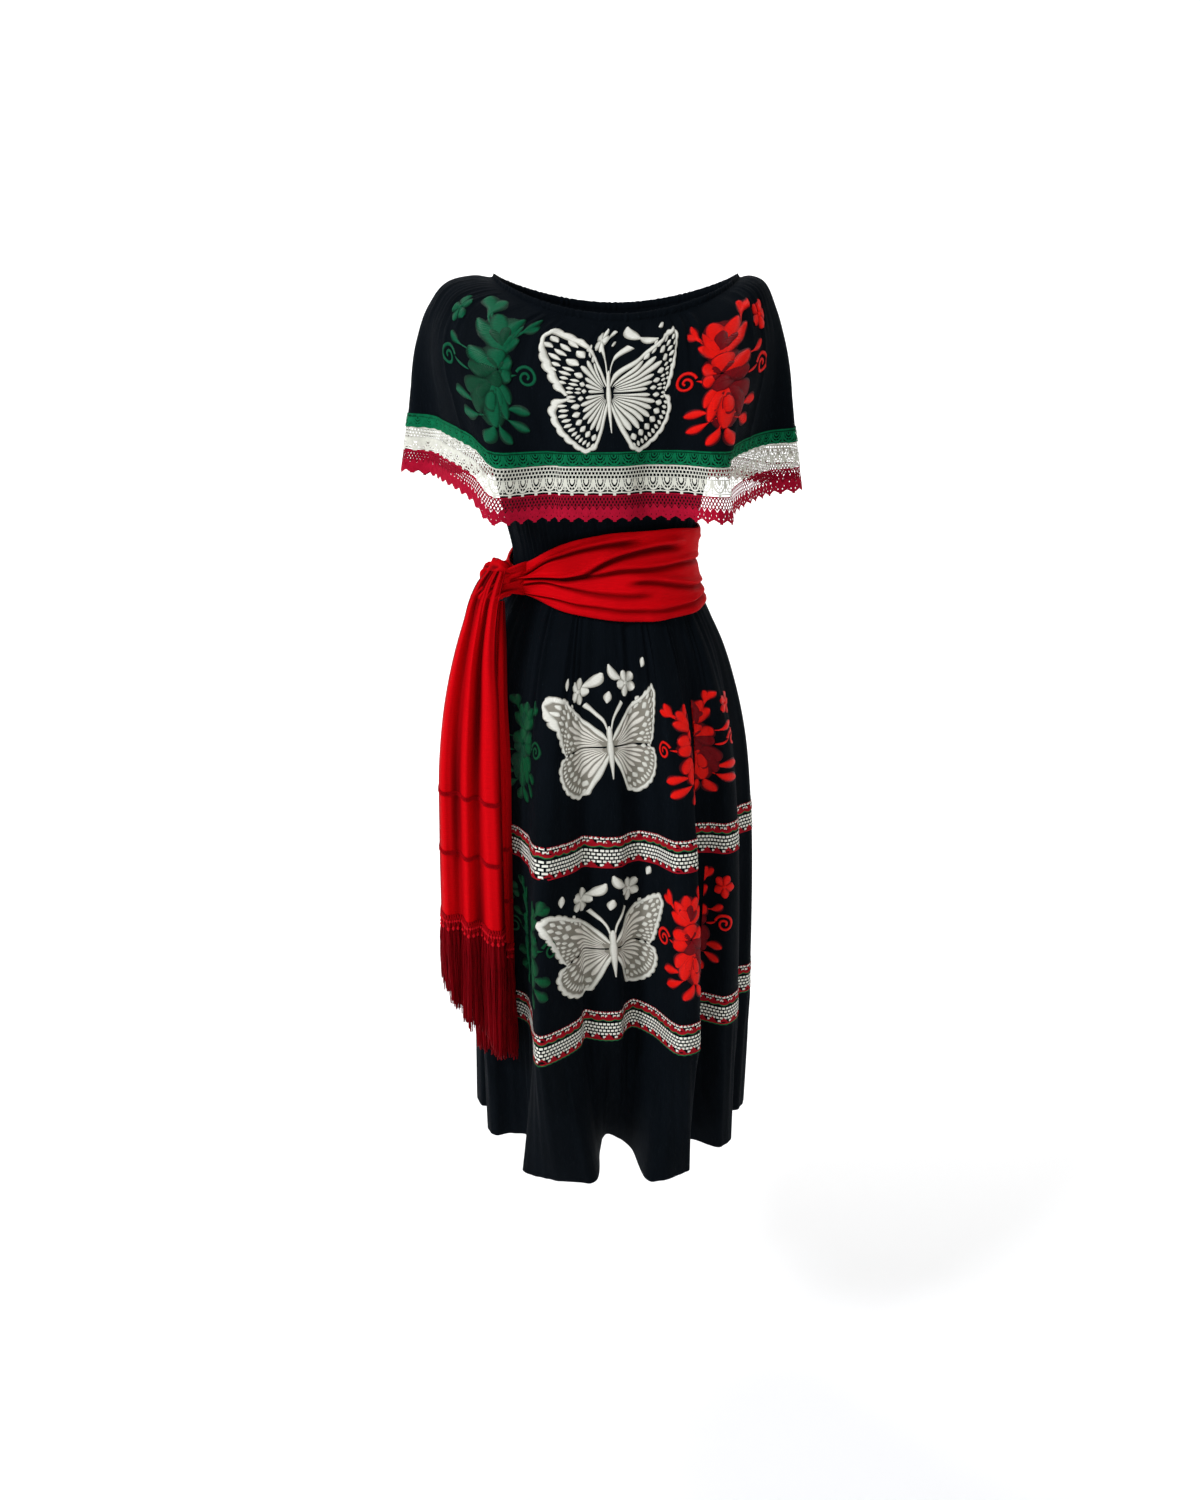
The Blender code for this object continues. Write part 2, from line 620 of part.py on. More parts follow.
def build_fringe(name, edge, size, red):
    """Strands below the end of a tail: a narrow backing strip whose cells run down into strands."""
    run = np.concatenate([[0], np.cumsum(np.linalg.norm(np.diff(edge, axis=0), axis=1))])
    cells = 2 * size["strands"] + 1
    at = np.linspace(0.01, 0.99, cells + 1) * run[-1]
    line = np.stack([np.interp(at, run, edge[:, k]) for k in range(3)], 1)
    along = np.gradient(line, axis=0)
    along[1:-1] = (along[:-2] + along[1:-1] + along[2:]) / 3
    out = np.stack([along[:, 1], -along[:, 0], 0 * at], 1)
    out /= np.linalg.norm(out, axis=1, keepdims=True)
    half = out * size["thick"] / 2 * MM
    centre = line - out * SASH_WALL / 2 - np.array([0, 0, 1.4 * SEAM_GAP])
    high = np.array([0, 0, 4.0 * MM])
    points = []
    for i in range(cells + 1):
        top, low = centre[i], centre[i] - high
        points += [top + half[i], low + half[i], low - half[i], top - half[i]]
    faces = [(3, 2, 1, 0), tuple(4 * cells + k for k in range(4))]
    for i in range(cells):
        a, b = 4 * i, 4 * (i + 1)
        for k in (0, 2, 3):
            n = (k + 1) % 4
            faces.append((a + k, b + k, b + n, a + n))
        if i % 2 == 0:
            faces.append((a + 1, b + 1, b + 2, a + 2))
            continue
        ring = [a + 1, b + 1, b + 2, a + 2]
        corners = np.array([points[k] for k in ring])
        middle = corners.mean(axis=0)
        length = (size["length"] + size["slant"] * (i / cells) ** 0.7 + 5 * math.sin(i * 2.3)) * MM
        for drop, spread in ((0.35, 0.8), (1.0, 0.7)):
            sway = np.array([0.003 * math.sin(i * 0.3) * drop, 0.0, -length * drop])
            new = [len(points) + k for k in range(4)]
            points += [middle + sway + (c - middle) * spread for c in corners]
            for k in range(4):
                n = (k + 1) % 4
                faces.append((ring[k], ring[n], new[n], new[k]))
            ring = new
        faces.append(tuple(ring))
    add_object(name, points, faces, red)


def build_tails(red):
    """The two hanging ends of the sash and their fringes."""
    levels = np.linspace(0, 1, 8) ** 1.25
    front = tail_grid(FRONT_TAIL, PLEATS, TAIL_COLUMNS, levels, TAIL_SLANT)
    back = tail_grid(BACK_TAIL, FLAT_PLEATS, BACK_TAIL_COLUMNS, levels)
    cloth_panel("sash_tail_front", front, normals_of(front, False), False, red, SASH_WALL)
    cloth_panel("sash_tail_back", back, normals_of(back, False), False, red, SASH_WALL)
    build_fringe("sash_fringe_front", front[-1], FRONT_FRINGE, red)
    build_fringe("sash_fringe_back", back[-1], BACK_FRINGE, red)


def main():
    for old in list(bpy.data.objects):
        bpy.data.objects.remove(old)
    black = make_material("black_cotton", (0.006, 0.008, 0.013), 0.85)
    green = make_material("green_lace", (0.01, 0.16, 0.06), 0.7)
    white = make_material("white_lace", (0.78, 0.75, 0.66), 0.75)
    red_lace = make_material("red_lace", (0.5, 0.012, 0.04), 0.7)
    trim = make_material("woven_trim", (0.72, 0.62, 0.56), 0.75)
    sash = make_material("red_sash", (0.55, 0.004, 0.01), 0.6)
    build_casing(black)
    build_flounce(black, green, white, red_lace)
    build_bodice(black)
    build_skirt(black, trim)
    build_ruffle(black)
    build_sash_wrap(sash)
    build_knot(sash)
    build_tails(sash)


main()
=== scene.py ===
import math

import bpy
import numpy as np
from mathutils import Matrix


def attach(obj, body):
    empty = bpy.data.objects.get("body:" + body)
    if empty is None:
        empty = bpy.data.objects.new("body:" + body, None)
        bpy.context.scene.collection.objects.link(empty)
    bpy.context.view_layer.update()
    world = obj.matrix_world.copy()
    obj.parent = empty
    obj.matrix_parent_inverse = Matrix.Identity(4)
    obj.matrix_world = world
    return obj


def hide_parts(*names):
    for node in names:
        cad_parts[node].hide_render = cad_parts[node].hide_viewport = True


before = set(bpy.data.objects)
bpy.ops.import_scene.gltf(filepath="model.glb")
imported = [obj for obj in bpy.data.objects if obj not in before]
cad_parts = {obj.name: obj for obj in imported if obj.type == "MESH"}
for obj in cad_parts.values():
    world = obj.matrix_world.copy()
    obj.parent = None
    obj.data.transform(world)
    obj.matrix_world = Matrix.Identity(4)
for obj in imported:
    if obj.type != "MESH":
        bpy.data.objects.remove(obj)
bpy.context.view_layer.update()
mm = 0.001
tau = 2 * math.pi


# tables and curves
def table(columns, rows):
    names = columns.split()
    return [dict(zip(names, row)) for row in rows]


# A smooth curve through known values, and the same down a column of a table.
def hermite(known, values, at):
    slope = np.gradient(values, known)
    at = np.clip(np.asarray(at, float), known[0], known[-1])
    i = np.clip(np.searchsorted(known, at) - 1, 0, len(known) - 2)
    span = known[i + 1] - known[i]
    t = (at - known[i]) / span
    start = (1 + 2 * t) * (1 - t) ** 2 * values[i] + t * (1 - t) ** 2 * span * slope[i]
    end = t * t * (3 - 2 * t) * values[i + 1] + t * t * (t - 1) * span * slope[i + 1]
    return start + end


def column(rows, key, name, at):
    known = np.array([row[key] for row in rows], float)
    values = np.array([row[name] for row in rows], float)
    if known[0] > known[-1]:
        known, values = known[::-1], values[::-1]
    return hermite(known, values, at)


ovalPower = 2.2  # 2 is a plain oval, more is squarer


# Points on an oval whose front and back have their own depths.
def oval(bearing, halfWidth, front, back):
    c, s = polarArrays(bearing)
    deep = np.where(s < 0, front, back)
    size = (np.abs(c) ** ovalPower + np.abs(s) ** ovalPower) ** (-1 / ovalPower)
    return halfWidth * c * size, deep * s * size


# Goes softly from 0 at start to 1 at end.
def fade(value, start, end):
    t = np.clip((np.asarray(value, float) - start) / (end - start), 0, 1)
    return t * t * (3 - 2 * t)


# Uneven waves round a ring of cloth: whole numbers of waves near the one asked for.
def wander(share, waves, seed, count=5):
    total = 0 * share
    for k in range(count):
        n = max(1, round(waves * (0.62 + 0.19 * k + 0.07 * math.sin(seed * 3.1 + k * 1.7))))
        phase = math.sin(seed * 12.9 + k * 78.2) * 43.7
        total = total + (1 - 0.11 * k) * np.sin(tau * n * share + phase)
    return total / count * 1.6


# Waves that are added up: each has a height, how many go round, a lean of share for each unit down and a
# seed.
def waved(rows, share, down=0.0):
    return sum(height * wander(share + down * lean, waves, seed) for height, waves, lean, seed in rows)


# How far along a line of points each one lies.
def runAlong(points):
    return np.concatenate([[0], np.cumsum(np.linalg.norm(np.diff(points, axis=0), axis=1))])


# A smooth line of count points through a few.
def smoothPath(points, count):
    points = np.array(points, float)
    run = runAlong(points)
    at = np.linspace(0, run[-1], count)
    return np.stack([hermite(run, points[:, k], at) for k in range(points.shape[1])], 1)


def unit(vectors):
    return vectors / (np.linalg.norm(vectors, axis=-1, keepdims=True) + 1e-9)


# Unit vectors to the left of a flat line of points.
def leftOf(points):
    along = np.gradient(points, axis=0)
    return unit(np.stack([-along[:, 1], along[:, 0]], 1))


def polarArrays(bearing):
    return np.cos(np.radians(bearing)), np.sin(np.radians(bearing))


# A point on an oval round a centre, at an angle in degrees.
def polar(centre, rx, ry, degrees):
    angle = math.radians(degrees)
    return (centre[0] + rx * math.cos(angle), centre[1] + ry * math.sin(angle))


# the dress's own form, as the part has it: half width, depth to the front and back, and share of the folds
form = table(
    "z halfWidth front back foldShare",
    [
        (-20, 146, 95, 86, 0), (-60, 148, 103, 91, 0), (-100, 150, 119, 97, 0),
        (-160, 149, 131, 100, 0), (-220, 140, 122, 95, 0), (-290, 124, 102, 89, 0),
        (-346, 114, 93, 86, 0), (-372, 118, 95, 90, 0.00), (-410, 136, 104, 101, 0.04),
        (-452, 153, 114, 114, 0.11), (-508, 168, 125, 125, 0.23), (-582, 184, 136, 135, 0.38),
        (-671, 194, 146, 142, 0.56), (-712, 198, 150, 145, 0.64), (-812, 203, 156, 150, 0.82),
        (-911, 204, 160, 152, 0.96), (-952, 204, 162, 152, 1.00),
    ],
)
skirtFolds = table(
    "bearing reach crest neck valley",
    [
        (186, 176, 26, 44, 158), (212, 188, 22, 40, 162), (252, 248, 10, 66, 172),
        (274, 176, 24, 40, 147), (299, 237, 28, 40, 166), (325, 214, 34, 50, 186),
        (352, 209, 30, 50, 180), (380, 207, 30, 46, 164), (407, 206, 34, 46, 150),
        (434, 192, 34, 48, 138), (461, 190, 34, 46, 140), (489, 194, 34, 46, 146),
        (516, 187, 30, 46, 150),
    ],
)
hemFolds = table(
    "bearing reach crest neck valley",
    [
        (186, 178, 34, 42, 152), (212, 184, 26, 40, 150), (254, 209, 98, 76, 104),
        (295, 219, 58, 44, 150), (325, 212, 36, 46, 176), (352, 205, 34, 50, 176),
        (380, 206, 34, 46, 162), (407, 214, 38, 46, 148), (434, 202, 38, 48, 136),
        (461, 200, 38, 46, 138), (489, 204, 38, 46, 144), (516, 189, 34, 46, 148),
    ],
)
flounceFolds = table(
    "bearing reach crest neck valley",
    [
        (181, 252, 44, 62, 205), (232, 210, 20, 58, 163), (268, 171, 60, 84, 166),
        (311, 224, 22, 54, 202), (358, 253, 44, 62, 214), (404, 206, 34, 60, 152),
        (434, 150, 40, 60, 134), (466, 150, 40, 60, 150), (497, 208, 34, 60, 214),
    ],
)
flounceRows = table(
    "down halfWidth front back shift frontDrop sideDrop foldShare",
    [
        (0, 151.5, 104, 95, 18, 0.0, 0.0, 0.0), (24, 188, 117, 104, 8, 0.09, 0.03, 0.03),
        (55, 210, 131, 112, 2, 0.215, 0.15, 0.12), (95, 226, 145, 121, 0, 0.385, 0.33, 0.32),
        (135, 236, 155, 128, 0, 0.555, 0.55, 0.66), (158, 241, 160, 131, 0, 0.64, 0.69, 0.87),
        (176, 244, 163, 133, 0, 0.715, 0.76, 1.0), (209, 249, 167, 136, 0, 0.862, 0.88, 1.0),
        (240, 256, 170, 139, 0, 1.0, 1.0, 1.0),
    ],
)
flounceEdge = table(
    "bearing z",
    [
        (0, -254), (45, -263), (90, -267), (135, -262), (165, -245), (180, -233), (195, -232),
        (208, -241), (220, -261), (232, -274), (250, -272), (270, -270), (290, -270), (305, -273),
        (318, -275), (330, -266), (345, -258), (360, -254),
    ],
)
casing = {
    "halfWidth": 150, "front": 102, "back": 93, "shift": 18, "height": 11.0, "depth": 5.4,
    "zFront": -41.0, "zBack": -31.0, "zSide": 3.0,
}
waistSeam, ruffleSeam, hemDrop = 346.0, 952.0, 1145.0
# pressed upright creases of the flounce
flounceCreases = table(
    "share height reach",
    [(0.1490, 3.0, 7), (0.1090, 2.4, 6), (0.4130, 3.0, 7), (0.62, 2.6, 7), (0.83, 2.4, 7)],
)
seamGap = 0.35


# where a fold's crest and necks lie between it and the next fold's bearing, and how far out its necks are
foldForm = {"crestAt": 0.12, "neckAt": 0.30, "neckOut": 0.3}


# A closed ring of cloth through its folds: each fold has a crest, two necks and a valley after it. Shares run
# evenly from side seam to side seam, or so that each fold keeps its share of the ring above.
def foldRing(folds, above=None):
    points = []
    count = len(folds)
    for k, fold in enumerate(folds):
        before = folds[k - 1]["bearing"] - (360 if k == 0 else 0)
        after = folds[(k + 1) % count]["bearing"] + (360 if k == count - 1 else 0)
        angle = fold["bearing"]
        toLeft, toRight = angle - before, after - angle
        lows = (folds[k - 1]["valley"], fold["valley"])
        necks = [low + foldForm["neckOut"] * (fold["reach"] - low) for low in lows]
        for side, share, width, radius in (
            (-1, foldForm["neckAt"] * toLeft, fold["neck"], necks[0]),
            (-1, foldForm["crestAt"] * toLeft, fold["crest"], fold["reach"]),
            (1, foldForm["crestAt"] * toRight, fold["crest"], fold["reach"]),
            (1, foldForm["neckAt"] * toRight, fold["neck"], necks[1]),
        ):
            out = math.radians(angle)
            x = radius * math.cos(out) - side * width / 2 * math.sin(out)
            y = radius * math.sin(out) + side * width / 2 * math.cos(out)
            points.append((x, y, angle + side * share))
        between = angle + toRight / 2
        points.append((*polar((0, 0), fold["valley"], fold["valley"], between), between))
    turn = np.array([0, 0, 360.0])
    points = np.array(points)
    wide = np.vstack([points[-8:] - turn, points, points[:8] + turn])  # on past both ends, to close smoothly
    step = np.sqrt(np.hypot(*np.diff(wide[:, :2], axis=0).T))
    t = np.concatenate([[0], np.cumsum(step)])
    fine = np.linspace(t[4], t[-5], 4000)
    x, y = hermite(t, wide[:, 0], fine), hermite(t, wide[:, 1], fine)
    home = np.interp(fine, t, wide[:, 2])
    marks, shares = [180, 360, 540], [0, 0.5, 1]
    if above is not None:
        marks = sorted(marks + [fold["bearing"] for fold in folds])
        shares = np.interp(marks, above["home"], above["share"])
    ring = {"share": [], "x": [], "y": [], "home": [], "girth": []}
    for k in range(len(marks) - 1):
        inside = (home >= marks[k]) & (home <= marks[k + 1])
        hx, hy, hb = x[inside], y[inside], home[inside]
        run = runAlong(np.stack([hx, hy], 1))
        ring["share"].append(shares[k] + (shares[k + 1] - shares[k]) * run / run[-1])
        ring["x"].append(hx)
        ring["y"].append(hy)
        ring["home"].append(hb)
        ring["girth"].append([run[-1]])
    return {key: np.concatenate(value) for key, value in ring.items()}


# Points on a ring at shares, with the bearing that each one belongs to.
def aroundRing(ring, share):
    share = np.asarray(share, float) % 1.0
    return [np.interp(share, ring["share"], ring[key]) for key in ("x", "y", "home")]


skirtRing = foldRing(skirtFolds)
hemRing = foldRing(hemFolds, skirtRing)
flounceRing = foldRing(flounceFolds)
skirtGirth, hemGirth, flounceGirth = (
    float(ring["girth"].sum()) for ring in (skirtRing, hemRing, flounceRing)
)
sharpFold = 252  # bearing of the skirt's fold with a sharp crease down its front
creaseShare = float(np.interp(sharpFold, skirtRing["home"], skirtRing["share"]))
print("rings: skirt %.0f mm, hem %.0f mm, flounce %.0f mm" % (skirtGirth, hemGirth, flounceGirth))


# The smooth oval inside the folds, at a drop.
def formOval(bearing, drop):
    return oval(bearing, *(column(form, "z", name, -drop) for name in ("halfWidth", "front", "back")))


# The skirt's ring with its folds as deep as they are at a drop.
def foldedRing(share, drop):
    x, y, home = aroundRing(skirtRing, share)
    ox, oy = formOval(home, drop)
    fold = np.clip(column(form, "z", "foldShare", -drop), 0, 1)
    return ox + (x - ox) * fold, oy + (y - oy) * fold


# Moves points away from the middle.
def pushOut(x, y, amount):
    reach = np.hypot(x, y)
    return x * (1 + amount / reach), y * (1 + amount / reach)


skirtWaves = {
    "tucks": [(1.9, 66, 0, 1.0), (1.4, 34, 2e-5, 2.0)],
    "drape": [(1.9, 21, 1e-5, 3.0), (0.5, 47, 0, 4.0)],
    "crease": 4.5, "creaseReach": 9, "lift": 0.8,
}


# The main skirt.
def skirtShape(share, drop):
    x, y = foldedRing(share, drop)
    gathered = fade(drop, 346, 372) * (1 - fade(drop, 440, 640))
    soft = fade(drop, 420, 560) * (1 - fade(drop, 860, 930) * 0.7)
    tucks = gathered * waved(skirtWaves["tucks"], share, drop)
    drape = soft * waved(skirtWaves["drape"], share, drop)
    away = np.abs((np.asarray(share) - creaseShare) * skirtGirth)
    crease = skirtWaves["crease"] * np.exp(-away / skirtWaves["creaseReach"]) * fade(drop, 470, 640)
    x, y = pushOut(x, y, skirtWaves["lift"] + tucks + drape + crease)
    return x, y, -drop + 0 * x


ruffleWaves = {
    "gathers": {"height": 2.0, "waves": 120}, "waves": [(4.2, 33, 0, 6.0), (1.6, 60, 0.002, 7.0)],
    "edge": {"height": 1.5, "waves": 15},
}


# The ruffle from its seam to the hem, where its edge rises and falls a little.
def ruffleShape(share, drop):
    topX, topY, _ = skirtShape(share, np.minimum(drop, ruffleSeam))
    lowX, lowY, _ = aroundRing(hemRing, share)
    down = (drop - ruffleSeam) / (hemDrop - ruffleSeam)
    ease = down * (0.75 + 0.25 * down)
    x, y = topX + (lowX - topX) * ease, topY + (lowY - topY) * ease
    gathers, edge = ruffleWaves["gathers"], ruffleWaves["edge"]
    tight = fade(down, 0, 0.07) * (1 - 0.55 * fade(down, 0.2, 0.8))
    tight = tight * gathers["height"] * wander(share, gathers["waves"], 5.0, 4)
    x, y = pushOut(x, y, tight + fade(down, 0, 0.5) * waved(ruffleWaves["waves"], share, down))
    return x, y, -drop + edge["height"] * fade(down, 0.5, 1) * wander(share, edge["waves"], 8.0)


# The neckline's height: lowest at the front, highest at the sides.
def casingZ(bearing):
    side = np.abs(np.cos(np.radians(bearing))) ** 2
    middle = np.where(np.sin(np.radians(bearing)) < 0, casing["zFront"], casing["zBack"])
    return middle + (casing["zSide"] - middle) * side


flounceWaves = {
    "tucks": [(2.3, 58, 0, 9.0), (1.3, 104, 0, 10.0)],
    "drape": [(2.0, 13, 1e-4, 11.0), (0.7, 31, 0, 12.0)],
    "seam": [(0.35, 58, 0, 13.0)], "sideRise": 4.5, "lift": 0.5,
}


# The flounce and its hanging laces. down is millimetres of cloth below the casing.
def flounceShape(share, down):
    x, y, home = aroundRing(flounceRing, share)
    get = {c: column(flounceRows, "down", c, down) for c in flounceRows[0]}
    ox, oy = oval(home, get["halfWidth"], get["front"], get["back"])
    ox = ox + get["shift"]
    flare = 0.94 + 0.06 * np.clip((down - 135) / 105, 0, 1)
    mix = np.clip(get["foldShare"], 0, 1)
    side = np.abs(np.cos(np.radians(home))) ** 2
    top = casingZ(home) - (casing["height"] / 2 + 0.5) * (1 - 1.5 * side)
    edge = column(flounceEdge, "bearing", "z", home % 360)
    dropShare = get["frontDrop"] + (get["sideDrop"] - get["frontDrop"]) * side
    x, y = ox + (x * flare - ox) * mix, oy + (y * flare - oy) * mix
    near = fade(down, 1, 9) * (1 - fade(down, 26, 88))
    tucks = near * waved(flounceWaves["tucks"], share)
    drape = fade(down, 30, 100) * waved(flounceWaves["drape"], share, down)
    x, y = pushOut(x, y, flounceWaves["lift"] + tucks + drape)
    creases = sum(
        crease["height"] * np.exp(-np.abs(share - crease["share"]) * flounceGirth / crease["reach"])
        for crease in flounceCreases
    )
    x, y = pushOut(x, y, creases * fade(down, 15, 70))
    rise = flounceWaves["sideRise"] * side**2 * fade(down, 0, 12) * (1 - fade(down, 40, 90))
    return x, y, top + (edge - top) * dropShare + rise + near * waved(flounceWaves["seam"], share)


shirring = [(0.8, 96, 0, 14.0), (0.5, 150, 0, 15.0)]


# The bodice below the neckline, with fine upright shirring.
def bodiceShape(bearing, drop):
    x, y = formOval(bearing, drop)
    strength = 0.35 + 0.9 * fade(drop, 200, 300)
    x, y = pushOut(x, y, 0.3 + strength * waved(shirring, np.asarray(bearing) / 360.0))
    return x, y, -drop + 0 * x


# Points in metres on a surface, lifted along its outward normal by millimetres.
def pointsOn(shape, share, down, lift=0.0):
    share, down = np.broadcast_arrays(np.asarray(share, float), np.asarray(down, float))
    here = np.stack(shape(share, down), -1)
    if np.isscalar(lift) and lift == 0:
        return here * mm
    step = 0.0008
    across = np.stack(shape(share + step, down), -1) - np.stack(shape(share - step, down), -1)
    downward = np.stack(shape(share, down + 1.0), -1) - np.stack(shape(share, down - 1.0), -1)
    normal = unit(np.cross(downward, across))
    return (here + normal * np.asarray(lift)[..., None]) * mm


# meshes
def addMesh(name, points, faces, uvs, material, replaces=(), paintedShade=None, threadOf=None):
    mesh = bpy.data.meshes.new(name)
    points = np.asarray(points, float).reshape(-1, 3)
    faces = np.asarray(faces, int)
    size = faces.shape[1]
    mesh.vertices.add(len(points))
    mesh.vertices.foreach_set("co", points.ravel())
    mesh.loops.add(faces.size)
    mesh.loops.foreach_set("vertex_index", faces.ravel())
    mesh.polygons.add(len(faces))
    mesh.polygons.foreach_set("loop_start", np.arange(0, faces.size, size))
    mesh.polygons.foreach_set("use_smooth", np.full(len(faces), True))
    mesh.update(calc_edges=True)
    layer = mesh.uv_layers.new(name="cloth")
    layer.data.foreach_set("uv", np.asarray(uvs, float).reshape(-1, 2)[faces.ravel()].ravel())
    # the painted shade of each point, 0 to 1, which darkens the colour where folds and low threads lie
    if paintedShade is not None:  # how far a fold shuts the light out at each point, 0 to 1
        closed = mesh.attributes.new("paintedShade", "FLOAT", "POINT")
        closed.data.foreach_set("value", np.asarray(paintedShade, float).ravel())
    if threadOf is not None:  # which of several threads each face is of
        mesh.polygons.foreach_set("material_index", np.asarray(threadOf, int))
    for one in material if isinstance(material, list) else [material]:
        mesh.materials.append(one)
    mesh.validate()
    obj = bpy.data.objects.new(name, mesh)
    bpy.context.scene.collection.objects.link(obj)
    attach(obj, "root")
    if replaces:
        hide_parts(*replaces)
    return obj


# Faces of a grid of points, row by row; a closed one joins its last column to its first.
def gridFaces(rows, columns, closed=False):
    ii, jj = np.meshgrid(np.arange(columns if closed else columns - 1), np.arange(rows - 1))
    here, after = jj * columns + ii, jj * columns + (ii + 1) % columns
    return np.stack([here, here + columns, after + columns, after], -1).reshape(-1, 4)


# A piece of cloth from a grid of points.
def clothPiece(name, grid, uvGrid, material, replaces, closed=False, paintedShade=None):
    faces = gridFaces(*grid.shape[:2], closed)
    return addMesh(name, grid, faces, uvGrid, material, replaces, paintedShade=paintedShade)


# The turned edge of a cloth, as far behind it as turn says: three rows that curl behind its last one.
def hemRoll(grid, turn):
    edge, downward = grid[-1], grid[-1] - grid[-2]
    back = unit(np.cross(np.gradient(edge, axis=0), downward)) * turn
    away = unit(downward)
    return np.array([edge + back * 0.5 + away * turn * 0.3, edge + back, edge + back - away * 0.007])


# materials
# A colour written as a hex code, turned from screen values to linear ones.
def linear(code):
    parts = [int(code[k:k + 2], 16) / 255 for k in (1, 3, 5)]
    return (*[p / 12.92 if p <= 0.04045 else ((p + 0.055) / 1.055) ** 2.4 for p in parts], 1.0)


# One node with its settings and inputs, where an input is a value or a socket; its first or named output
# may go on to a socket.
def addNode(tree, kind, settings=None, inputs=None, to=None, out=0):
    node = tree.nodes.new(kind)
    for key, value in (settings or {}).items():
        setattr(node, key, value)
    for key, value in (inputs or {}).items():
        if isinstance(value, bpy.types.NodeSocket):
            tree.links.new(value, node.inputs[key])
        else:
            node.inputs[key].default_value = value
    if to:
        tree.links.new(node.outputs[out], to)
    return node.outputs[out]


fibreIor = 1.5  # cotton and viscose are both near 1.5


def startMaterial(name, roughness, sheen, specular):
    material = bpy.data.materials.new(name)
    material.use_nodes = True
    tree = material.node_tree
    shader = tree.nodes["Principled BSDF"]
    for key, value in (
        ("Roughness", roughness), ("Sheen Weight", sheen), ("Sheen Roughness", 0.45),
        ("Specular IOR Level", specular), ("IOR", fibreIor),
    ):
        shader.inputs[key].default_value = value
    return material, tree, shader.inputs


# Places on the cloth, in repeats of a pattern: across and down are the sizes of one repeat in millimetres.
def clothUv(tree, across, down):
    uv = addNode(tree, "ShaderNodeUVMap", {"uv_map": "cloth"})
    scale = (1 / (across * mm), 1 / (down * mm), 1)
    return addNode(tree, "ShaderNodeMapping", inputs={"Vector": uv, "Scale": scale})


# Painted shade: a colour that goes over to a darker one where a fold shuts the light out.
def paintFoldShade(tree, colour, dark, to):
    paintedShade = addNode(tree, "ShaderNodeAttribute", {"attribute_name": "paintedShade"}, out="Fac")
    addNode(tree, mixKind, rgba, {0: paintedShade, 6: colour, 7: dark}, to, 2)


bandRepeat = 20 / tau  # bands of a wave texture in one repeat
diagonalRepeat = bandRepeat / math.sqrt(2)
noiseKind, waveKind, mixKind, bumpKind = (
    "ShaderNodeTexNoise", "ShaderNodeTexWave", "ShaderNodeMix", "ShaderNodeBump",
)
rgba = {"data_type": "RGBA"}
uprightBands = {"wave_type": "BANDS", "bands_direction": "X"}
levelBands = {"wave_type": "BANDS", "bands_direction": "Y"}
slantedBands = {"wave_type": "BANDS", "bands_direction": "DIAGONAL"}
softNoise = {"Scale": 1.0, "Detail": 3.0}
yarnGap = 0.748  # woven yarns lie 0.35 mm apart, too fine to show
twistGap = 1.185  # a crochet thread's twist is 0.6 mm long, too fine to show
flossGap = 1.164  # embroidery floss lies 0.4 mm apart, too fine to show


# Black crinkled cotton gauze, piece-dyed and dried in twisted hanks: the crinkle breaks the light into uneven
# upright lines, and short fibres give a faint cool sheen.
def wovenCotton():
    material, tree, shader = startMaterial("wovenCotton", 0.85, 0.012, 0.045)
    shader["Sheen Tint"].default_value = linear("#8fa6c0")
    crinkles = {"Vector": clothUv(tree, 2.381, 16.67), "Scale": 1.0, "Detail": 4.0, "Roughness": 0.6}
    crinkle = addNode(tree, noiseKind, inputs=crinkles)
    broad = addNode(tree, noiseKind, inputs={"Vector": clothUv(tree, 26.32, 71.43), **softNoise})
    blacks = {0: broad, 6: linear("#010407"), 7: linear("#080e14")}
    addNode(tree, mixKind, rgba, blacks, shader["Base Color"], 2)
    warpUv, weftUv = clothUv(tree, yarnGap * bandRepeat, 11.11), clothUv(tree, 11.11, yarnGap * bandRepeat)
    warp = addNode(tree, waveKind, uprightBands, {"Vector": warpUv, "Scale": 1.0, "Distortion": 1.5}, out=1)
    weft = addNode(tree, waveKind, levelBands, {"Vector": weftUv, "Scale": 1.0, "Distortion": 1.2}, out=1)
    first = addNode(tree, bumpKind, inputs={"Strength": 0.55, "Distance": 0.0012, "Height": crinkle})
    across = {"Strength": 0.25, "Distance": 0.0003, "Height": warp, "Normal": first}
    second = addNode(tree, bumpKind, inputs=across)
    last = {"Strength": 0.22, "Distance": 0.0003, "Height": weft, "Normal": second}
    addNode(tree, bumpKind, inputs=last, to=shader["Normal"])
    return material


# Spun cotton or viscose thread, twisted and dyed: matt, with fine slanted ridges, slight changes of tone, and
# painted shade, down to a fifth of its dark tone, on low threads and in folds.
def threadWork(name, dark, light, roughness, specular):
    material, tree, shader = startMaterial(name, roughness, 0.0, specular)
    tone = addNode(tree, noiseKind, inputs={"Vector": clothUv(tree, 6.25, 6.25), **softNoise})
    thread = addNode(tree, mixKind, rgba, {0: tone, 6: linear(dark), 7: linear(light)}, out=2)
    # painted shade: the dark tone at a fifth of its brightness
    inShade = (*[0.18 * value for value in linear(dark)[:3]], 1.0)
    paintFoldShade(tree, thread, inShade, shader["Base Color"])
    twistUv = clothUv(tree, twistGap * diagonalRepeat, twistGap * diagonalRepeat)
    twist = {"Vector": twistUv, "Scale": 1.0, "Distortion": 2.0}
    ridges = addNode(tree, waveKind, slantedBands, twist, out=1)
    bump = {"Strength": 0.5, "Distance": 0.0004, "Height": ridges}
    addNode(tree, bumpKind, inputs=bump, to=shader["Normal"])
    return material
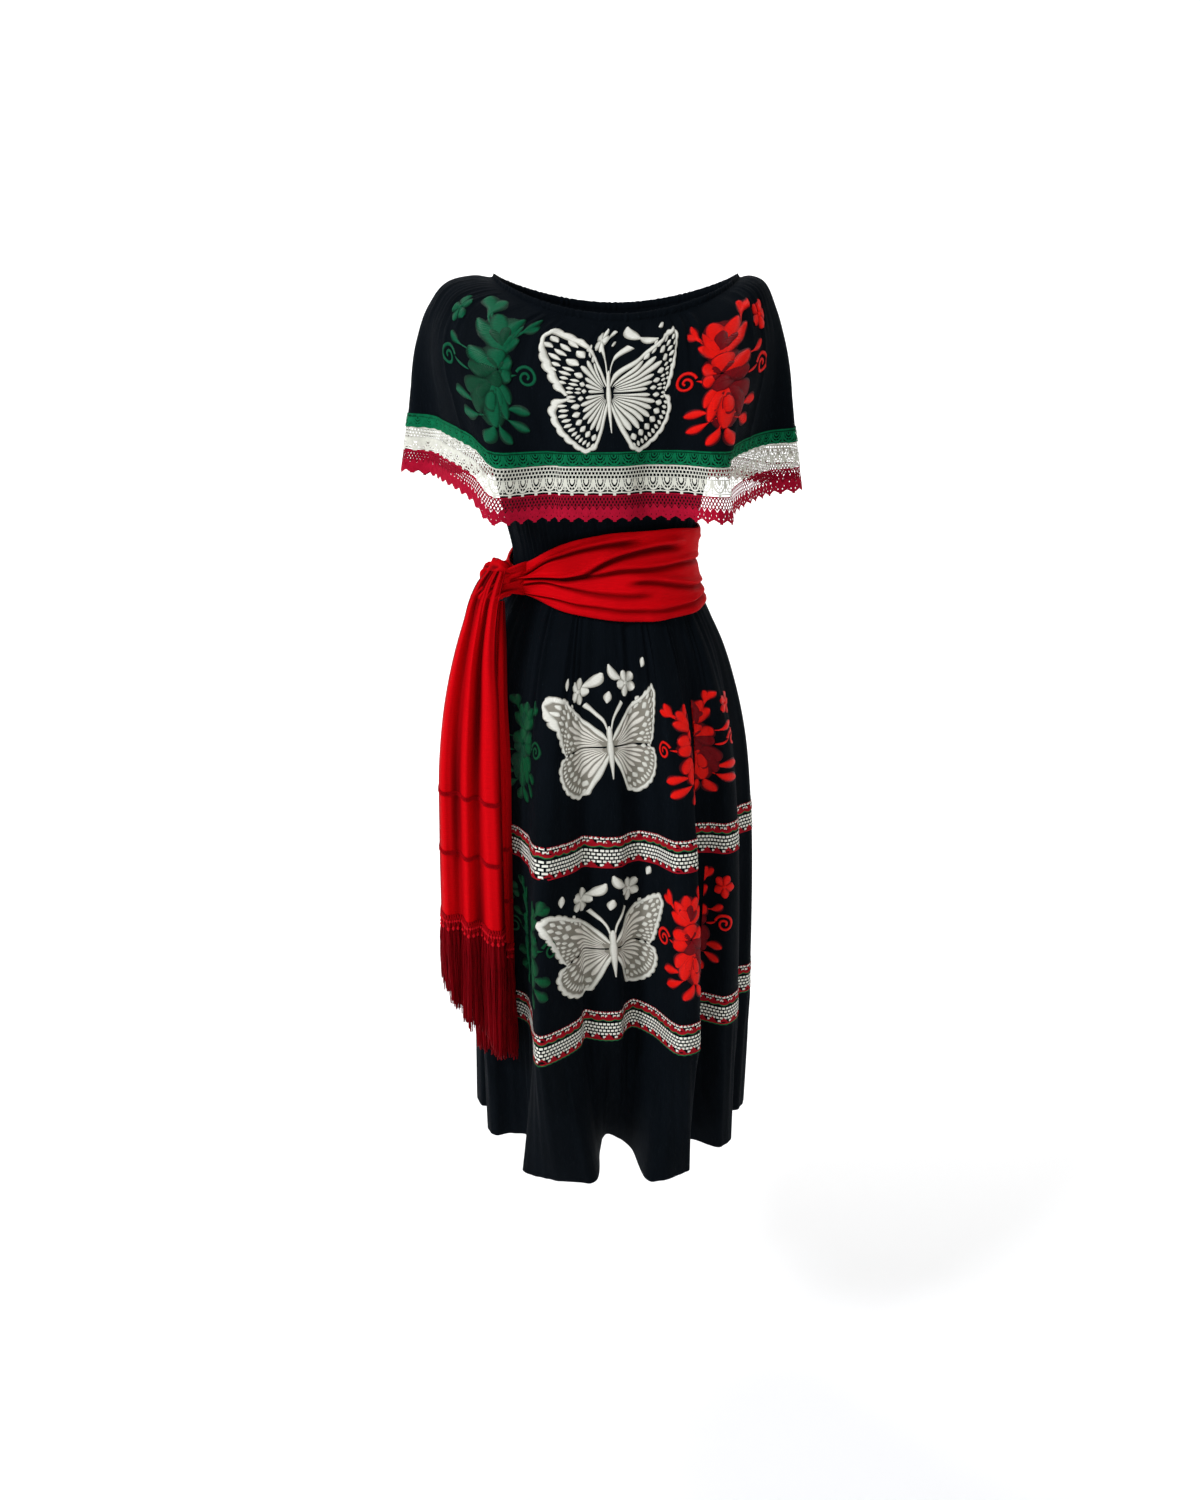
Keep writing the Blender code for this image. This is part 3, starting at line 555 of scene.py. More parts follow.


# Viscose floss laid side by side in satin stitch: fine rows across each shape, silky along them, and a
# painted shade in the rim colour along each shape's edges, where its padded dome turns down.
def satinStitch(name, dark, light, rim):
    material, tree, shader = startMaterial(name, 0.42, 0.0, 0.09)
    shader["Anisotropic"].default_value = 0.5
    streaks = {"Vector": clothUv(tree, 1.111, 0.909), "Scale": 1.0, "Detail": 2.0}
    streak = addNode(tree, noiseKind, inputs=streaks)
    colour = addNode(tree, mixKind, rgba, {0: streak, 6: linear(dark), 7: linear(light)}, out=2)
    # painted shade: the rim colour takes over towards the edges of each shape
    uv = addNode(tree, "ShaderNodeUVMap", {"uv_map": "cloth"})
    fromMiddle = addNode(tree, "ShaderNodeSeparateXYZ", inputs={0: uv})
    across = addNode(tree, "ShaderNodeMath", {"operation": "ABSOLUTE"}, {0: fromMiddle})
    edge = addNode(tree, "ShaderNodeMapRange", inputs={0: across, 1: 0.45 * mm, 2: 1.0 * mm, 3: 0.0, 4: 1.0})
    addNode(tree, mixKind, rgba, {0: edge, 6: colour, 7: linear(rim)}, shader["Base Color"], 2)
    rowUv = clothUv(tree, 16.67, flossGap * bandRepeat)
    rows = addNode(tree, waveKind, levelBands, {"Vector": rowUv, "Scale": 1.0, "Distortion": 1.0}, out=1)
    bump = {"Strength": 0.6, "Distance": 0.0006, "Height": rows}
    addNode(tree, bumpKind, inputs=bump, to=shader["Normal"])
    return material


# Red viscose of the sash, woven from slubby yarn: soft, nearly matt, with a warm sheen, and painted shade, a
# near black red, in its folds.
def sashWeave():
    material, tree, shader = startMaterial("sashWeave", 0.7, 0.03, 0.035)
    shader["Sheen Tint"].default_value = linear("#ff4060")
    slub = addNode(tree, noiseKind, inputs={"Vector": clothUv(tree, 16.67, 1.111), **softNoise})
    cloth = addNode(tree, mixKind, rgba, {0: slub, 6: linear("#b40008"), 7: linear("#da020e")}, out=2)
    # painted shade in the folds
    paintFoldShade(tree, cloth, linear("#3c0003"), shader["Base Color"])
    warpUv = clothUv(tree, yarnGap * bandRepeat, 11.11)
    warp = addNode(tree, waveKind, uprightBands, {"Vector": warpUv, "Scale": 1.0, "Distortion": 1.0}, out=1)
    first = addNode(tree, bumpKind, inputs={"Strength": 0.25, "Distance": 0.0004, "Height": slub})
    last = {"Strength": 0.2, "Distance": 0.0003, "Height": warp, "Normal": first}
    addNode(tree, bumpKind, inputs=last, to=shader["Normal"])
    return material


blackCloth, sashCloth = wovenCotton(), sashWeave()
# mercerised crochet cotton of the laces and trims: dark tone, light tone, roughness, specular level
trimIvory = threadWork("trimIvory", "#dcdcd0", "#fbfbf0", 0.75, 0.06)
ivoryThread = threadWork("crochetIvory", "#c6c6ba", "#ededdf", 0.75, 0.06)
crimsonThread = threadWork("crochetCrimson", "#8a061f", "#ba1034", 0.75, 0.06)
greenThread = threadWork("crochetGreen", "#034a30", "#087c4e", 0.75, 0.05)
trimRed = threadWork("trimRed", "#7c0a18", "#b01424", 0.75, 0.05)
trimGreen = threadWork("trimGreen", "#175230", "#277044", 0.75, 0.05)
# twisted viscose of the fringe, one red in three tones: the strands darker as painted shade, the knots
# lighter as painted light
fringeShadedThread = threadWork("fringeShadedThread", "#66000a", "#960310", 0.7, 0.04)
headerThread = threadWork("headerThread", "#8c000a", "#b80412", 0.7, 0.04)
knotLitThread = threadWork("knotLitThread", "#b8000c", "#e81a2a", 0.7, 0.06)
# embroidery floss: dark tone, light tone, and rim colour, a painted shade along each shape's edges
whiteFloss = satinStitch("flossWhite", "#cdccc0", "#f4f4ea", "#8b897c")
creamFloss = satinStitch("flossCream", "#cecabe", "#f8f5ea", "#5c574c")
groundFloss = satinStitch("flossGround", "#8a867a", "#a5a194", "#8a867a")
redFloss = satinStitch("flossScarlet", "#d00606", "#f81a0c", "#8c0208")
deepRedFloss = satinStitch("flossDeepRed", "#4c0009", "#8e0410", "#300006")
greenFloss = satinStitch("flossGreen", "#02402a", "#05623f", "#02281a")
# a darker copy of the green floss for the skirt's motifs, as painted shade
greenFlossShaded = satinStitch("flossGreenShaded", "#023620", "#05582f", "#011e12")
deepGreenFloss = satinStitch("flossDeepGreen", "#032c1c", "#06472c", "#021c12")
print("materials made")

# cloth
flouncePiece = {
    "node": "flounce_", "columns": 300, "rows": 92, "top": 0.0, "edge": 176.0, "tucked": True, "hem": 0,
}
skirtPiece = {
    "node": "skirt_", "columns": 320, "rows": 128, "top": waistSeam + seamGap, "edge": ruffleSeam,
    "tucked": False, "hem": 0,
}
rufflePiece = {
    "node": "ruffle_", "columns": 380, "rows": 52, "top": ruffleSeam + seamGap, "edge": hemDrop,
    "tucked": False, "hem": 1.6,
}


# The front or back half of a tier of cloth, from side seam to side seam.
def halfOf(name, shape, piece, girth, half):
    start = 0.0 if half == "front" else 0.5
    share = np.linspace(start, start + 0.5, piece["columns"])
    down = np.linspace(piece["top"], piece["edge"], piece["rows"])
    grid = pointsOn(shape, share[None, :], down[:, None])
    uv = np.stack(np.broadcast_arrays(share[None, :] * girth * mm, -down[:, None] * mm), -1)
    if piece["tucked"]:  # its first row goes in under the casing
        tucked = grid[:1] * [0.992, 0.992, 1] + [casing["shift"] * mm * 0.008, 0, 0.004]
        grid, uv = np.concatenate([tucked, grid]), np.concatenate([uv[:1] + [0, 0.004], uv])
    if piece["hem"]:
        grid = np.concatenate([grid, hemRoll(grid, piece["hem"] * mm)])
        uv = np.concatenate([uv, [uv[-1] - [0, 0.001 * k] for k in (1, 2, 8)]])
    return clothPiece(name + half.title(), grid, uv, blackCloth, [piece["node"] + half])


sheets = []
for half in ("front", "back"):
    flounce = halfOf("flounceCloth", flounceShape, flouncePiece, flounceGirth, half)
    skirt = halfOf("skirtCloth", skirtShape, skirtPiece, skirtGirth, half)
    ruffle = halfOf("ruffleCloth", ruffleShape, rufflePiece, hemGirth, half)
    sheets += [
        (flounce, (0.74, 0.19), "gathered", ["neck_casing"]),
        (skirt, (0.93, 0.61), "gathered", ["bodice_" + half]),
        (ruffle, (1.15, 0.205), "gathered", ["skirt_" + half]),
    ]

# the bodice, with its armholes cut out at the sides: reach is half its bearing to each side at a drop
bodiceRows = table("drop reach", [(100, 58), (138, 76), (172, 89.85), (346, 89.85)])
bodicePiece = {
    "columns": 200, "rows": 100, "top": 40, "armhole": 100, "topReach": 46, "topInset": 1.7, "overlap": 1.5,
}
bodiceDrops, bodiceReaches = ([row[key] for row in bodiceRows] for key in ("drop", "reach"))
for half, middle in (("front", 270), ("back", 450)):
    spread = np.linspace(-1, 1, bodicePiece["columns"])
    drops = np.linspace(bodicePiece["top"], waistSeam, bodicePiece["rows"])
    topBearing = middle + spread * bodicePiece["topReach"]
    sizes = (casing[key] - bodicePiece["topInset"] for key in ("halfWidth", "front", "back"))
    topX, topY = oval(topBearing, *sizes)
    topZ = casingZ(topBearing) - casing["height"] / 2 + bodicePiece["overlap"]
    top = np.stack([topX + casing["shift"], topY, topZ], 1)
    low = np.stack(bodiceShape(middle + spread * bodiceReaches[0], bodicePiece["armhole"] + 0 * spread), 1)
    grid = []
    for drop in drops:
        mix = (drop - bodicePiece["top"]) / (bodicePiece["armhole"] - bodicePiece["top"])
        reach = np.interp(drop, bodiceDrops, bodiceReaches)
        whole = np.stack(bodiceShape(middle + spread * reach, drop + 0 * spread), 1)
        grid.append(top + (low - top) * mix if mix < 1 else whole)
    level01 = np.linspace(0, 1, bodicePiece["rows"])
    uv = np.stack(np.broadcast_arrays(spread[None, :] * 0.2, -level01[:, None] * 0.3), -1)
    name = "bodiceCloth" + half.title()
    bodice = clothPiece(name, np.array(grid) * mm, uv, blackCloth, ["bodice_" + half])
    sheets.append((bodice, (0.38, 0.30), "gathered", ["neck_casing"]))

# the neckline casing: a soft tube with tight uneven gathers
casingPiece = {
    "columns": 720, "rows": 14, "pucker": [(0.26, 118, 0, 16.0), (0.16, 200, 0, 17.0)], "girth": 0.82,
    "around": 0.034,
}
bearing = np.arange(casingPiece["columns"]) * 360 / casingPiece["columns"]
x, y = oval(bearing, casing["halfWidth"], casing["front"], casing["back"])
centre = np.stack([x + casing["shift"], y, casingZ(bearing)], 1)
outward = np.stack([*polarArrays(bearing), 0 * x], 1)
pucker = 1 + waved(casingPiece["pucker"], bearing / 360)
grid = []
for angle in tau * np.arange(casingPiece["rows"] + 1) / casingPiece["rows"]:
    high = casing["height"] / 2 * math.cos(angle) * (1 + (pucker - 1) * 0.35)
    deep = (casing["depth"] / 2 - 0.1) * math.sin(angle) * pucker
    grid.append(centre + outward * deep[:, None] + np.array([0, 0, 1.0]) * high[:, None])
downCasing = np.linspace(0, casingPiece["around"], len(grid))
uv = np.stack(np.broadcast_arrays(bearing[None, :] / 360 * casingPiece["girth"], downCasing[:, None]), -1)
grid = np.array(grid) * mm
neck = clothPiece("neckCasing", grid, uv, blackCloth, ["neck_casing"], closed=True)
sheets.append((neck, (0.85, 0.031), "gathered", ["flounce_front"]))
print("cloth made")


# lace: threads as flat ribbons, one unit repeated round the cloth
# The two edges of a flat band along a line of points.
def ribbon(points, width):
    points = np.array(points, float)
    side = leftOf(points) * np.broadcast_to(np.asarray(width, float) / 2, len(points))[:, None]
    return points + side, points - side


# A line along part of an oval, between two angles in degrees.
def arc(centre, rx, ry, start, end, count):
    angle = np.radians(np.linspace(start, end, count))
    return np.stack([centre[0] + rx * np.cos(angle), centre[1] + ry * np.sin(angle)], 1)


# where the hanging laces are bunched at one side, so that their threads cover more
laceBunch = {"share": 0.06, "reach": 0.07, "wider": 0.75}


# Repeats one unit round a cloth: parts are (bands, thread), bands are (points, width, rise) in millimetres.
# shade is a painted shade on the threads that lie low, and bunched widens the threads where the lace is
# bunched.
def laceRing(name, shape, girth, repeats, top, parts, unitPitch, replaces, lift, shade=0.0, bunched=0.0):
    pitch = girth / repeats
    lines, sides, faces, rises, threadOf, count = [], [], [], [], [], 0
    for n, (bands, _) in enumerate(parts):
        for points, width, rise in bands:
            left, right = ribbon(points, width)
            size = len(left)
            lines += [(left + right) / 2] * 2
            sides += [(left - right) / 2, (right - left) / 2]
            rises += [rise] * (2 * size)
            k = np.arange(size - 1)
            faces.append(np.stack([count + k, count + size + k, count + size + k + 1, count + k + 1], 1))
            threadOf += [n] * (size - 1)
            count += 2 * size
    lines, sides, faces = (np.concatenate(part) for part in (lines, sides, faces))
    rises = np.array(rises)
    order = np.arange(repeats)
    away = (order / repeats - laceBunch["share"] + 0.5) % 1 - 0.5
    wider = 1 + bunched * np.exp(-((away / laceBunch["reach"]) ** 2))
    corners = lines[None] + sides[None] * wider[:, None, None]
    share = (order[:, None] * pitch + corners[:, :, 0] * (pitch / unitPitch)) / girth
    down = top + corners[:, :, 1]
    points = pointsOn(shape, share, down, lift + np.broadcast_to(rises, share.shape))
    allFaces = (faces[None] + (order * count)[:, None, None]).reshape(-1, 4)
    uv = np.stack([share * girth * mm, -down * mm], -1)
    # painted shade, strongest on the lowest threads
    paintedShade = np.broadcast_to(np.clip(shade * (0.36 - rises) / 0.3, 0, shade), share.shape)
    threads = [thread for _, thread in parts]
    piece = addMesh(name, points, allFaces, uv, threads, replaces, paintedShade, np.tile(threadOf, repeats))
    print(name, 2 * len(allFaces), "triangles")
    return piece


unitPitch = 16.5
middle = unitPitch / 2


# A level line across a unit.
def levelLine(y):
    return [(0, y), (middle, y), (unitPitch, y)]


# A line across a unit through its ends, quarters and middle.
def swag(ends, quarters, centre):
    return [(middle * k / 2, y) for k, y in enumerate((ends, quarters, centre, quarters, ends))]


# Five short rays between the two arcs of a fan, each arc given as its height, half width and half height.
def fanRays(near, far, wide):
    return [
        ([polar((middle, near[0]), *near[1:], angle), polar((middle, far[0]), *far[1:], angle)], wide, 0.3)
        for angle in range(22, 159, 34)
    ]


# A square crochet net with its posts staggered from row to row.
def netBands(top, bottom, pitchAcross, rowGap, wide):
    rows, posts = round((bottom - top) / rowGap), round(unitPitch / pitchAcross)
    heights = [top + j * (bottom - top) / rows for j in range(rows + 1)]
    bands = [(levelLine(y), wide, 0.0) for y in heights]
    for j in range(rows):
        for k in range(posts):
            x = (k + 0.5 * (j % 2)) * unitPitch / posts
            bands.append(([(x, heights[j]), (x, heights[j + 1])], wide * 0.95, 0.1))
    return bands


whiteUnit = netBands(1.2, 14.2, 4.125, 4.33, 1.3)  # the real net is of 3 mm squares, too fine to show
whiteUnit.append((levelLine(0.7), 1.5, 0.3))
whiteUnit += [
    (arc((middle, 15.0), 7.2, 13.2, 0, 180, 13), 2.1, 0.5),
    (arc((middle, 14.8), 4.6, 9.2, 0, 180, 9), 1.3, 0.4),
    ([(middle, 14.2), (middle, 17.6), (middle, 20.6)], [4.4, 5.0, 1.6], 0.45),
    (swag(29.6, 29.9, 30.2), 1.3, 0.55),
    ([(0, 14.2), (0, 19.0)], 1.4, 0.3), ([(0, 19.0), (0, 24.0)], 2.4, 0.35),
    ([(0, 24.0), (0, 29.6)], 1.2, 0.3),
    ([(middle, 30.2), (middle, 33.2)], 3.4, 0.6),
    ([(-2.2, 21.5), (0, 20.3), (2.2, 21.5)], 1.1, 0.4), ([(-2.4, 26.6), (0, 25.4), (2.4, 26.6)], 1.1, 0.4),
]
whiteUnit += fanRays((14.8, 4.4, 9.0), (15.0, 6.8, 12.6), 1.0)
redUnit = [(levelLine(0.7), 1.6, 0.3)]
for k in range(4):  # diamonds of 4 by 7 mm, coarser than the real 3 mm ones, so that they show
    x, half = k * unitPitch / 4, unitPitch / 8
    for j in range(4):
        y0, y1 = 1.0 + j * 3.6, 1.0 + (j + 1) * 3.6
        near, far = (x, x + half) if j % 2 == 0 else (x + half, x)
        opposite = 2 * x + 2 * half
        redUnit.append(([(near, y0), (far, y1)], 1.5, 0.05))
        redUnit.append(([(opposite - near, y0), (opposite - far, y1)], 1.5, 0.15))
redUnit += [
    (swag(13.2, 19.0, 13.2), 2.4, 0.4),
    ([(0, 14.5), (0, 19.0), (0, 23.4)], [2.0, 6.4, 3.6], 0.35),
    ([(middle, 14.5), (middle, 19.5), (middle, 24.4)], [2.0, 6.6, 4.0], 0.35),
    (arc((middle, 19.4), 7.4, 8.6, 8, 172, 11), 3.2, 0.5),
    ([(0, 21.2), (0, 25.0)], 3.2, 0.45),
    (arc((middle, 19.0), 4.6, 5.0, 0, 180, 7), 1.9, 0.42),
    ([(middle, 18.0), (middle, 27.0)], [3.0, 5.0], 0.38),
    ([(middle - 2.2, 18.6), (middle - 5.4, 25.6)], [1.6, 3.2], 0.4),
    ([(middle + 2.2, 18.6), (middle + 5.4, 25.6)], [1.6, 3.2], 0.4),
    ([(middle, 27.6), (middle, 31.2)], 3.8, 0.6),
    (swag(25.4, 27.2, 28.2), 1.5, 0.55),
]
greenUnit = [
    (levelLine(0.8), 1.7, 0.3),
    (levelLine(3.2), 1.0, 0.2),
    (arc((middle, 3.6), 7.6, 11.2, 0, 180, 11), 2.2, 0.5),
    (arc((middle, 3.4), 5.0, 7.4, 0, 180, 9), 1.5, 0.4),
    (arc((middle, 3.2), 2.4, 3.8, 0, 180, 7), 1.8, 0.35),
    ([(0, 3.2), (0, 9.5), (0, 14.5)], [1.0, 3.0, 2.4], 0.3),
    (swag(15.2, 16.2, 16.8), 1.7, 0.55),
]
greenUnit += fanRays((3.4, 5.0, 7.2), (3.6, 7.4, 10.8), 1.1)
for k in range(8):
    x = (k + 0.5) * unitPitch / 8
    greenUnit.append(([(x, 0.8), (x, 3.2)], 0.9, 0.1))
laceRepeats = 88
laces = table(
    "colour top width unit thread lift shade",
    [
        ("green", 158.6, 17, greenUnit, greenThread, 0.9, 0.85),
        ("white", 176.2, 33, whiteUnit, ivoryThread, 0.2, 0.12),
        ("red", 208.9, 31, redUnit, crimsonThread, 0.0, 0.42),
    ],
)
for lace in laces:
    colour, parts = lace["colour"], [(lace["unit"], lace["thread"])]
    piece = laceRing(
        "lace" + colour.title(), flounceShape, flounceGirth, laceRepeats, lace["top"], parts, unitPitch,
        ["flounce_lace_" + colour], lace["lift"], lace["shade"], laceBunch["wider"],
    )

# woven trims of the skirt: brick-stitch net with zigzag borders
trimPitch = 15.0
# the real rows of bricks lie 2.7 mm apart, too fine to show
brick = {"rowGap": 4.7, "pitch": 5.0, "apart": 1.4, "between": 1.8}
narrowTooth = {"base": 10.5, "height": 5.5, "halfWidth": 3.9}
wideTooth = {"base": 23.4, "height": 7.0, "halfWidth": 5.0}


# Rows of bricks from a trim's top edge down to bottom, without those that its tooth covers.
def brickBands(bottom, tooth):
    bands = []
    for j in range(int(bottom / brick["rowGap"])):
        y = (j + 0.5) * brick["rowGap"]
        above = (tooth["base"] - y) / tooth["height"]
        covered = tooth["halfWidth"] * (1 - above) + 0.3 if -2 / tooth["height"] < above < 1 else 0
        for k in range(3):
            x = (k + 0.5 * (j % 2)) * brick["pitch"]
            if abs((x + 1.1) % trimPitch - trimPitch / 2) >= covered:
                ends = [(x, y), (x + brick["pitch"] - brick["apart"], y)]
                bands.append((ends, brick["rowGap"] - brick["between"], 0.15 + 0.1 * ((j + k) % 2)))
    return bands


# A stepped pointed tooth that stands up from a base line.
def toothBands(base, height, halfWidth, steps=4):
    bands = []
    for k in range(steps):
        wide, y = halfWidth * (1 - k / steps), base - height * (k + 0.5) / steps
        line = [(trimPitch / 2 - wide, y), (trimPitch / 2 + wide, y)]
        bands.append((line, height / steps * 0.95, 0.4))
    return bands


narrowIvory = brickBands(9.4, narrowTooth)
narrowRed = toothBands(10.4, 6.4, 5.2) + [
    (arc((trimPitch / 2, 7.4), 7.5, 4.4, 0, 180, 9), 3.4, 0.45),
    ([(0, 7.0), (0, 11.0)], 3.6, 0.42), ([(0, 10.6), (7.5, 10.6), (15, 10.6)], 1.5, 0.42),
]
narrowRed += [([(x, 1.2), (x + 2.4, 1.2)], 1.7, 0.3) for x in (1.0, 4.75, 8.5, 12.25)]
narrowGreen = [
    (arc((trimPitch / 2, 10.6), 6.8, 3.6, 0, 180, 7), 1.9, 0.3),
    ([(-1.4, 12.4), (0, 12.0), (1.4, 12.4)], 2.2, 0.3),
]
wideIvory = brickBands(23.5, wideTooth)
wideRed = toothBands(23.4, 7.2, 5.4) + [([(0, 24.0), (7.5, 24.0), (15, 24.0)], 1.7, 0.45)]
wideGreen = [([(0, 25.4), (3.75, 26.2), (7.5, 25.4), (11.25, 26.2), (15, 25.4)], 1.6, 0.3)]
narrowParts = [(narrowIvory, trimIvory), (narrowRed, trimRed), (narrowGreen, trimGreen)]
wideParts = [(wideIvory, trimIvory), (wideRed, trimRed), (wideGreen, trimGreen)]
trims = table(
    "band kind top width repeats parts",
    [
        ("upper", "narrow", 671.4, 13.5, 97, narrowParts), ("upper", "wide", 687.8, 24.8, 97, wideParts[:2]),
        ("lower", "narrow", 911.4, 13.5, 122, narrowParts), ("lower", "wide", 927.8, 26.2, 122, wideParts),
    ],
)
for trim in trims:
    name, node = "trim" + trim["band"].title() + trim["kind"].title(), f"trim_{trim['band']}_{trim['kind']}"
    piece = laceRing(
        name, skirtShape, skirtGirth, trim["repeats"], trim["top"], trim["parts"], trimPitch,
        [node], 0.7,
    )
print("laces and trims made")


# embroidery
# A padded satin-stitch shape: a line of points with a half width at each, domed across.
def blade(points, widths, height=0.9):
    points, widths = np.array(points, float), np.array(widths, float)
    side, run = leftOf(points), runAlong(points)
    profile = ((-1, 0.0), (-0.72, 0.72), (-0.2, 1.0), (0.35, 0.95), (0.78, 0.62), (1, 0.0))
    flat, lifts, uv = [], [], []
    for across, rise in profile:
        flat.append(points + side * (widths * across)[:, None])
        lifts.append(np.minimum(height * 1.35, 0.25 + widths * 0.5) * rise)
        uv.append(np.stack([np.full(len(run), across * mm), run * mm], 1))
    flat, lifts, uv = (np.concatenate(part) for part in (flat, lifts, uv))
    return flat, lifts, uv, gridFaces(len(profile), len(points))


# Points from start to end at shares t, bowed to the left by a share of their length.
def bowed(start, end, bend, t):
    axis = np.array(end, float) - np.array(start, float)
    side = np.array([-axis[1], axis[0]])
    return np.array(start, float) + axis * t[:, None] + side * (bend * np.sin(math.pi * t))[:, None]


# A petal or leaf from one point to another, widest past its middle.
def leaf(start, end, halfWidth, bend=0.0, count=11, blunt=0.6, height=0.9):
    t = np.linspace(0, 1, count)
    swell = np.sin(math.pi * np.clip(t, 0.03, 0.97) ** (1 + 0.35 * blunt)) ** (0.75 - 0.25 * blunt)
    return blade(bowed(start, end, bend, t), halfWidth * swell, height)


# A leaf with a round end on a stem that takes up a share of its length, or a petal where stem is 0.
def frond(start, end, halfWidth, bend, stem, height):
    t = np.sin(np.linspace(0, math.pi / 2, 13))
    inBlade = np.clip((t - stem) / (1 - stem), 0, 1) ** 1.5
    widths = 0.8 + (halfWidth - 0.8) * np.sin(math.pi * np.clip(inBlade, 0, 0.985)) ** 0.62
    return blade(bowed(start, end, bend, t), widths, height)


# A short pointed stitch shape, at an angle in degrees.
def spot(centre, length, halfWidth, angle, height=0.8):
    start, end = (polar(centre, reach, reach, angle) for reach in (-length / 2, length / 2))
    return leaf(start, end, halfWidth, 0, 8, 0.2, height)


# A spiral that winds in from start degrees.
def curl(centre, size, turns, start, sign, width=1.5):
    t = np.linspace(0, 1, 30)
    radius = size * (1 - 0.86 * t)
    angle = math.radians(start) + sign * tau * turns * t
    points = np.stack([centre[0] + radius * np.cos(angle), centre[1] + radius * np.sin(angle)], 1)
    return blade(points, width * (1.15 - 0.25 * t), 0.7)


# A small flower of five petals.
def blossom(centre, size, turn):
    out = []
    for angle in turn + 72 * np.arange(5):
        near = polar(centre, 0.12 * size, 0.12 * size, angle)
        out.append(leaf(near, polar(centre, size, size, angle), 0.40 * size, 0, 9, 1.0))
    out.append(spot(centre, 0.5 * size, 0.24 * size, 0, 1.3))
    return out


# The same shapes turned over from left to right.
def mirrored(shapes):
    return [(flat * [-1, 1], lifts, uv, faces[:, ::-1]) for flat, lifts, uv, faces in shapes]


# How far an outline lies from a point in one direction.
def rayLength(outline, root, angle):
    d = outline - np.array(root)
    bearing = np.degrees(np.arctan2(d[:, 1], d[:, 0]))
    near = np.abs((bearing - angle + 180) % 360 - 180) < 3
    return float(np.hypot(*d[near].T).max()) if near.any() else 0.0


# A long wing cell fanned out from the root: a wedge with a rounded far end.
def wingCell(root, angle, near, far, spacing, fullness):
    r = np.linspace(near, far, 14)
    t = np.linspace(0, 1, 14)
    roundEnd = np.sqrt(np.clip(1 - np.clip((t - 0.74) / 0.27, 0, 1) ** 2, 0, 1))
    widths = fullness * r * math.radians(spacing) * roundEnd * fade(t, -0.25, 0.2)
    return blade(np.stack(polar(root, r, r, angle), 1), widths, 0.8)


# One wing: a border with small scallops on its outer margin, fanned cells and two rows of spots.
def wing(edgePoints, root, fan, margin, rows, fullness):
    edge = smoothPath(edgePoints, 84)
    outline = np.vstack([edge, smoothPath([edgePoints[-1], root, edgePoints[0]], 20)])
    t = np.linspace(0, 1, len(edge))
    onMargin = fade(t, margin[0], margin[0] + 0.05) * (1 - fade(t, margin[1] - 0.05, margin[1]))
    scallop = onMargin * np.abs(np.sin(math.pi * margin[2] * (t - margin[0]) / (margin[1] - margin[0])))
    outward = unit(edge - outline.mean(axis=0))
    taper = fade(t, 0, 0.06) * (1 - fade(t, 0.94, 1))
    wide = 1.3 + 1.1 * taper + 0.9 * scallop + 0.3 * onMargin
    border = [blade(edge + outward * (1.5 * scallop)[:, None], wide, 1.0)]
    reach = np.linspace(0.02, 1, 40)[:, None, None]
    ground = (np.array(root) + (edge - np.array(root)) * reach).reshape(-1, 2)
    ground = (ground, np.full(len(ground), 0.3), ground * mm, gridFaces(40, len(edge))[:, ::-1])
    cells, spots = [], []
    spacing = (fan[1] - fan[0]) / (fan[2] - 1)
    for k, angle in enumerate(np.linspace(*fan)):
        full = rayLength(edge, root, angle) - 3.2
        if full < 14:
            continue
        ends = rows[0]["from"] - 0.06 + 0.04 * (k % 2)
        cells.append(wingCell(root, angle, 0.10 * full, ends * full, spacing, fullness))
        for row in rows:
            shifts = (0,) if row["count"] == 1 else (-0.25, 0.25)
            length = (row["to"] - row["from"]) * full
            for shift in shifts:
                radius = (row["from"] + row["to"]) / 2 * full
                centre = polar(root, radius, radius, angle + shift * spacing)
                halfWidth = min(0.9 * fullness / row["count"] * math.radians(spacing) * radius, 5.0)
                spots.append(spot(centre, min(length, 10), halfWidth, angle))
    return border, cells, spots, [ground]


# A generic symmetrical butterfly: its border, cells, spots and ground.
def butterfly(fullness):
    foreRows = table("from to count", [(0.63, 0.75, 1), (0.77, 0.88, 2), (0.90, 0.985, 2)])
    hindRows = table("from to count", [(0.70, 0.83, 1), (0.87, 0.98, 2)])
    foreEdge = [
        (3, 9), (14, 24), (31, 39), (50, 51), (66, 58), (78, 60), (82, 54), (79, 44), (74, 32), (68, 19),
        (63, 7), (58, -2),
    ]
    hindEdge = [
        (56, -5), (64, -12), (67, -23), (64, -36), (57, -49), (46, -60), (34, -67), (24, -62), (16, -46),
        (9, -26), (3, -10),
    ]
    front = wing(foreEdge, (2, 3), (1, 47, 6), (0.40, 0.98, 9), foreRows, fullness)
    rear = wing(hindEdge, (2, 1), (-66.5, -7, 7), (0.02, 0.66, 8), hindRows, fullness)
    widths = np.interp(np.linspace(0, 1, 14), [0, 0.55, 1], [1.0, 1.7, 3.2])
    feeler = blade(smoothPath([(2, 20), (5, 31), (11, 41), (19, 50)], 14), widths, 0.9)
    marks = [0, 0.05, 0.12, 0.2, 0.36, 0.6, 1]
    widths = np.interp(np.linspace(0, 1, 24), marks, [0.8, 3.3, 3.6, 3.1, 4.4, 3.4, 0.7])
    body = blade(smoothPath([(0, 25), (0, 18), (0, 8), (0, -6), (0, -22), (0, -44)], 24), widths, 1.6)
    halves = [fore + hind for fore, hind in zip(front, rear)]
    halves[0].append(feeler)
    border, *others = [shapes + mirrored(shapes) for shapes in halves]
    return [border + [body], *others]


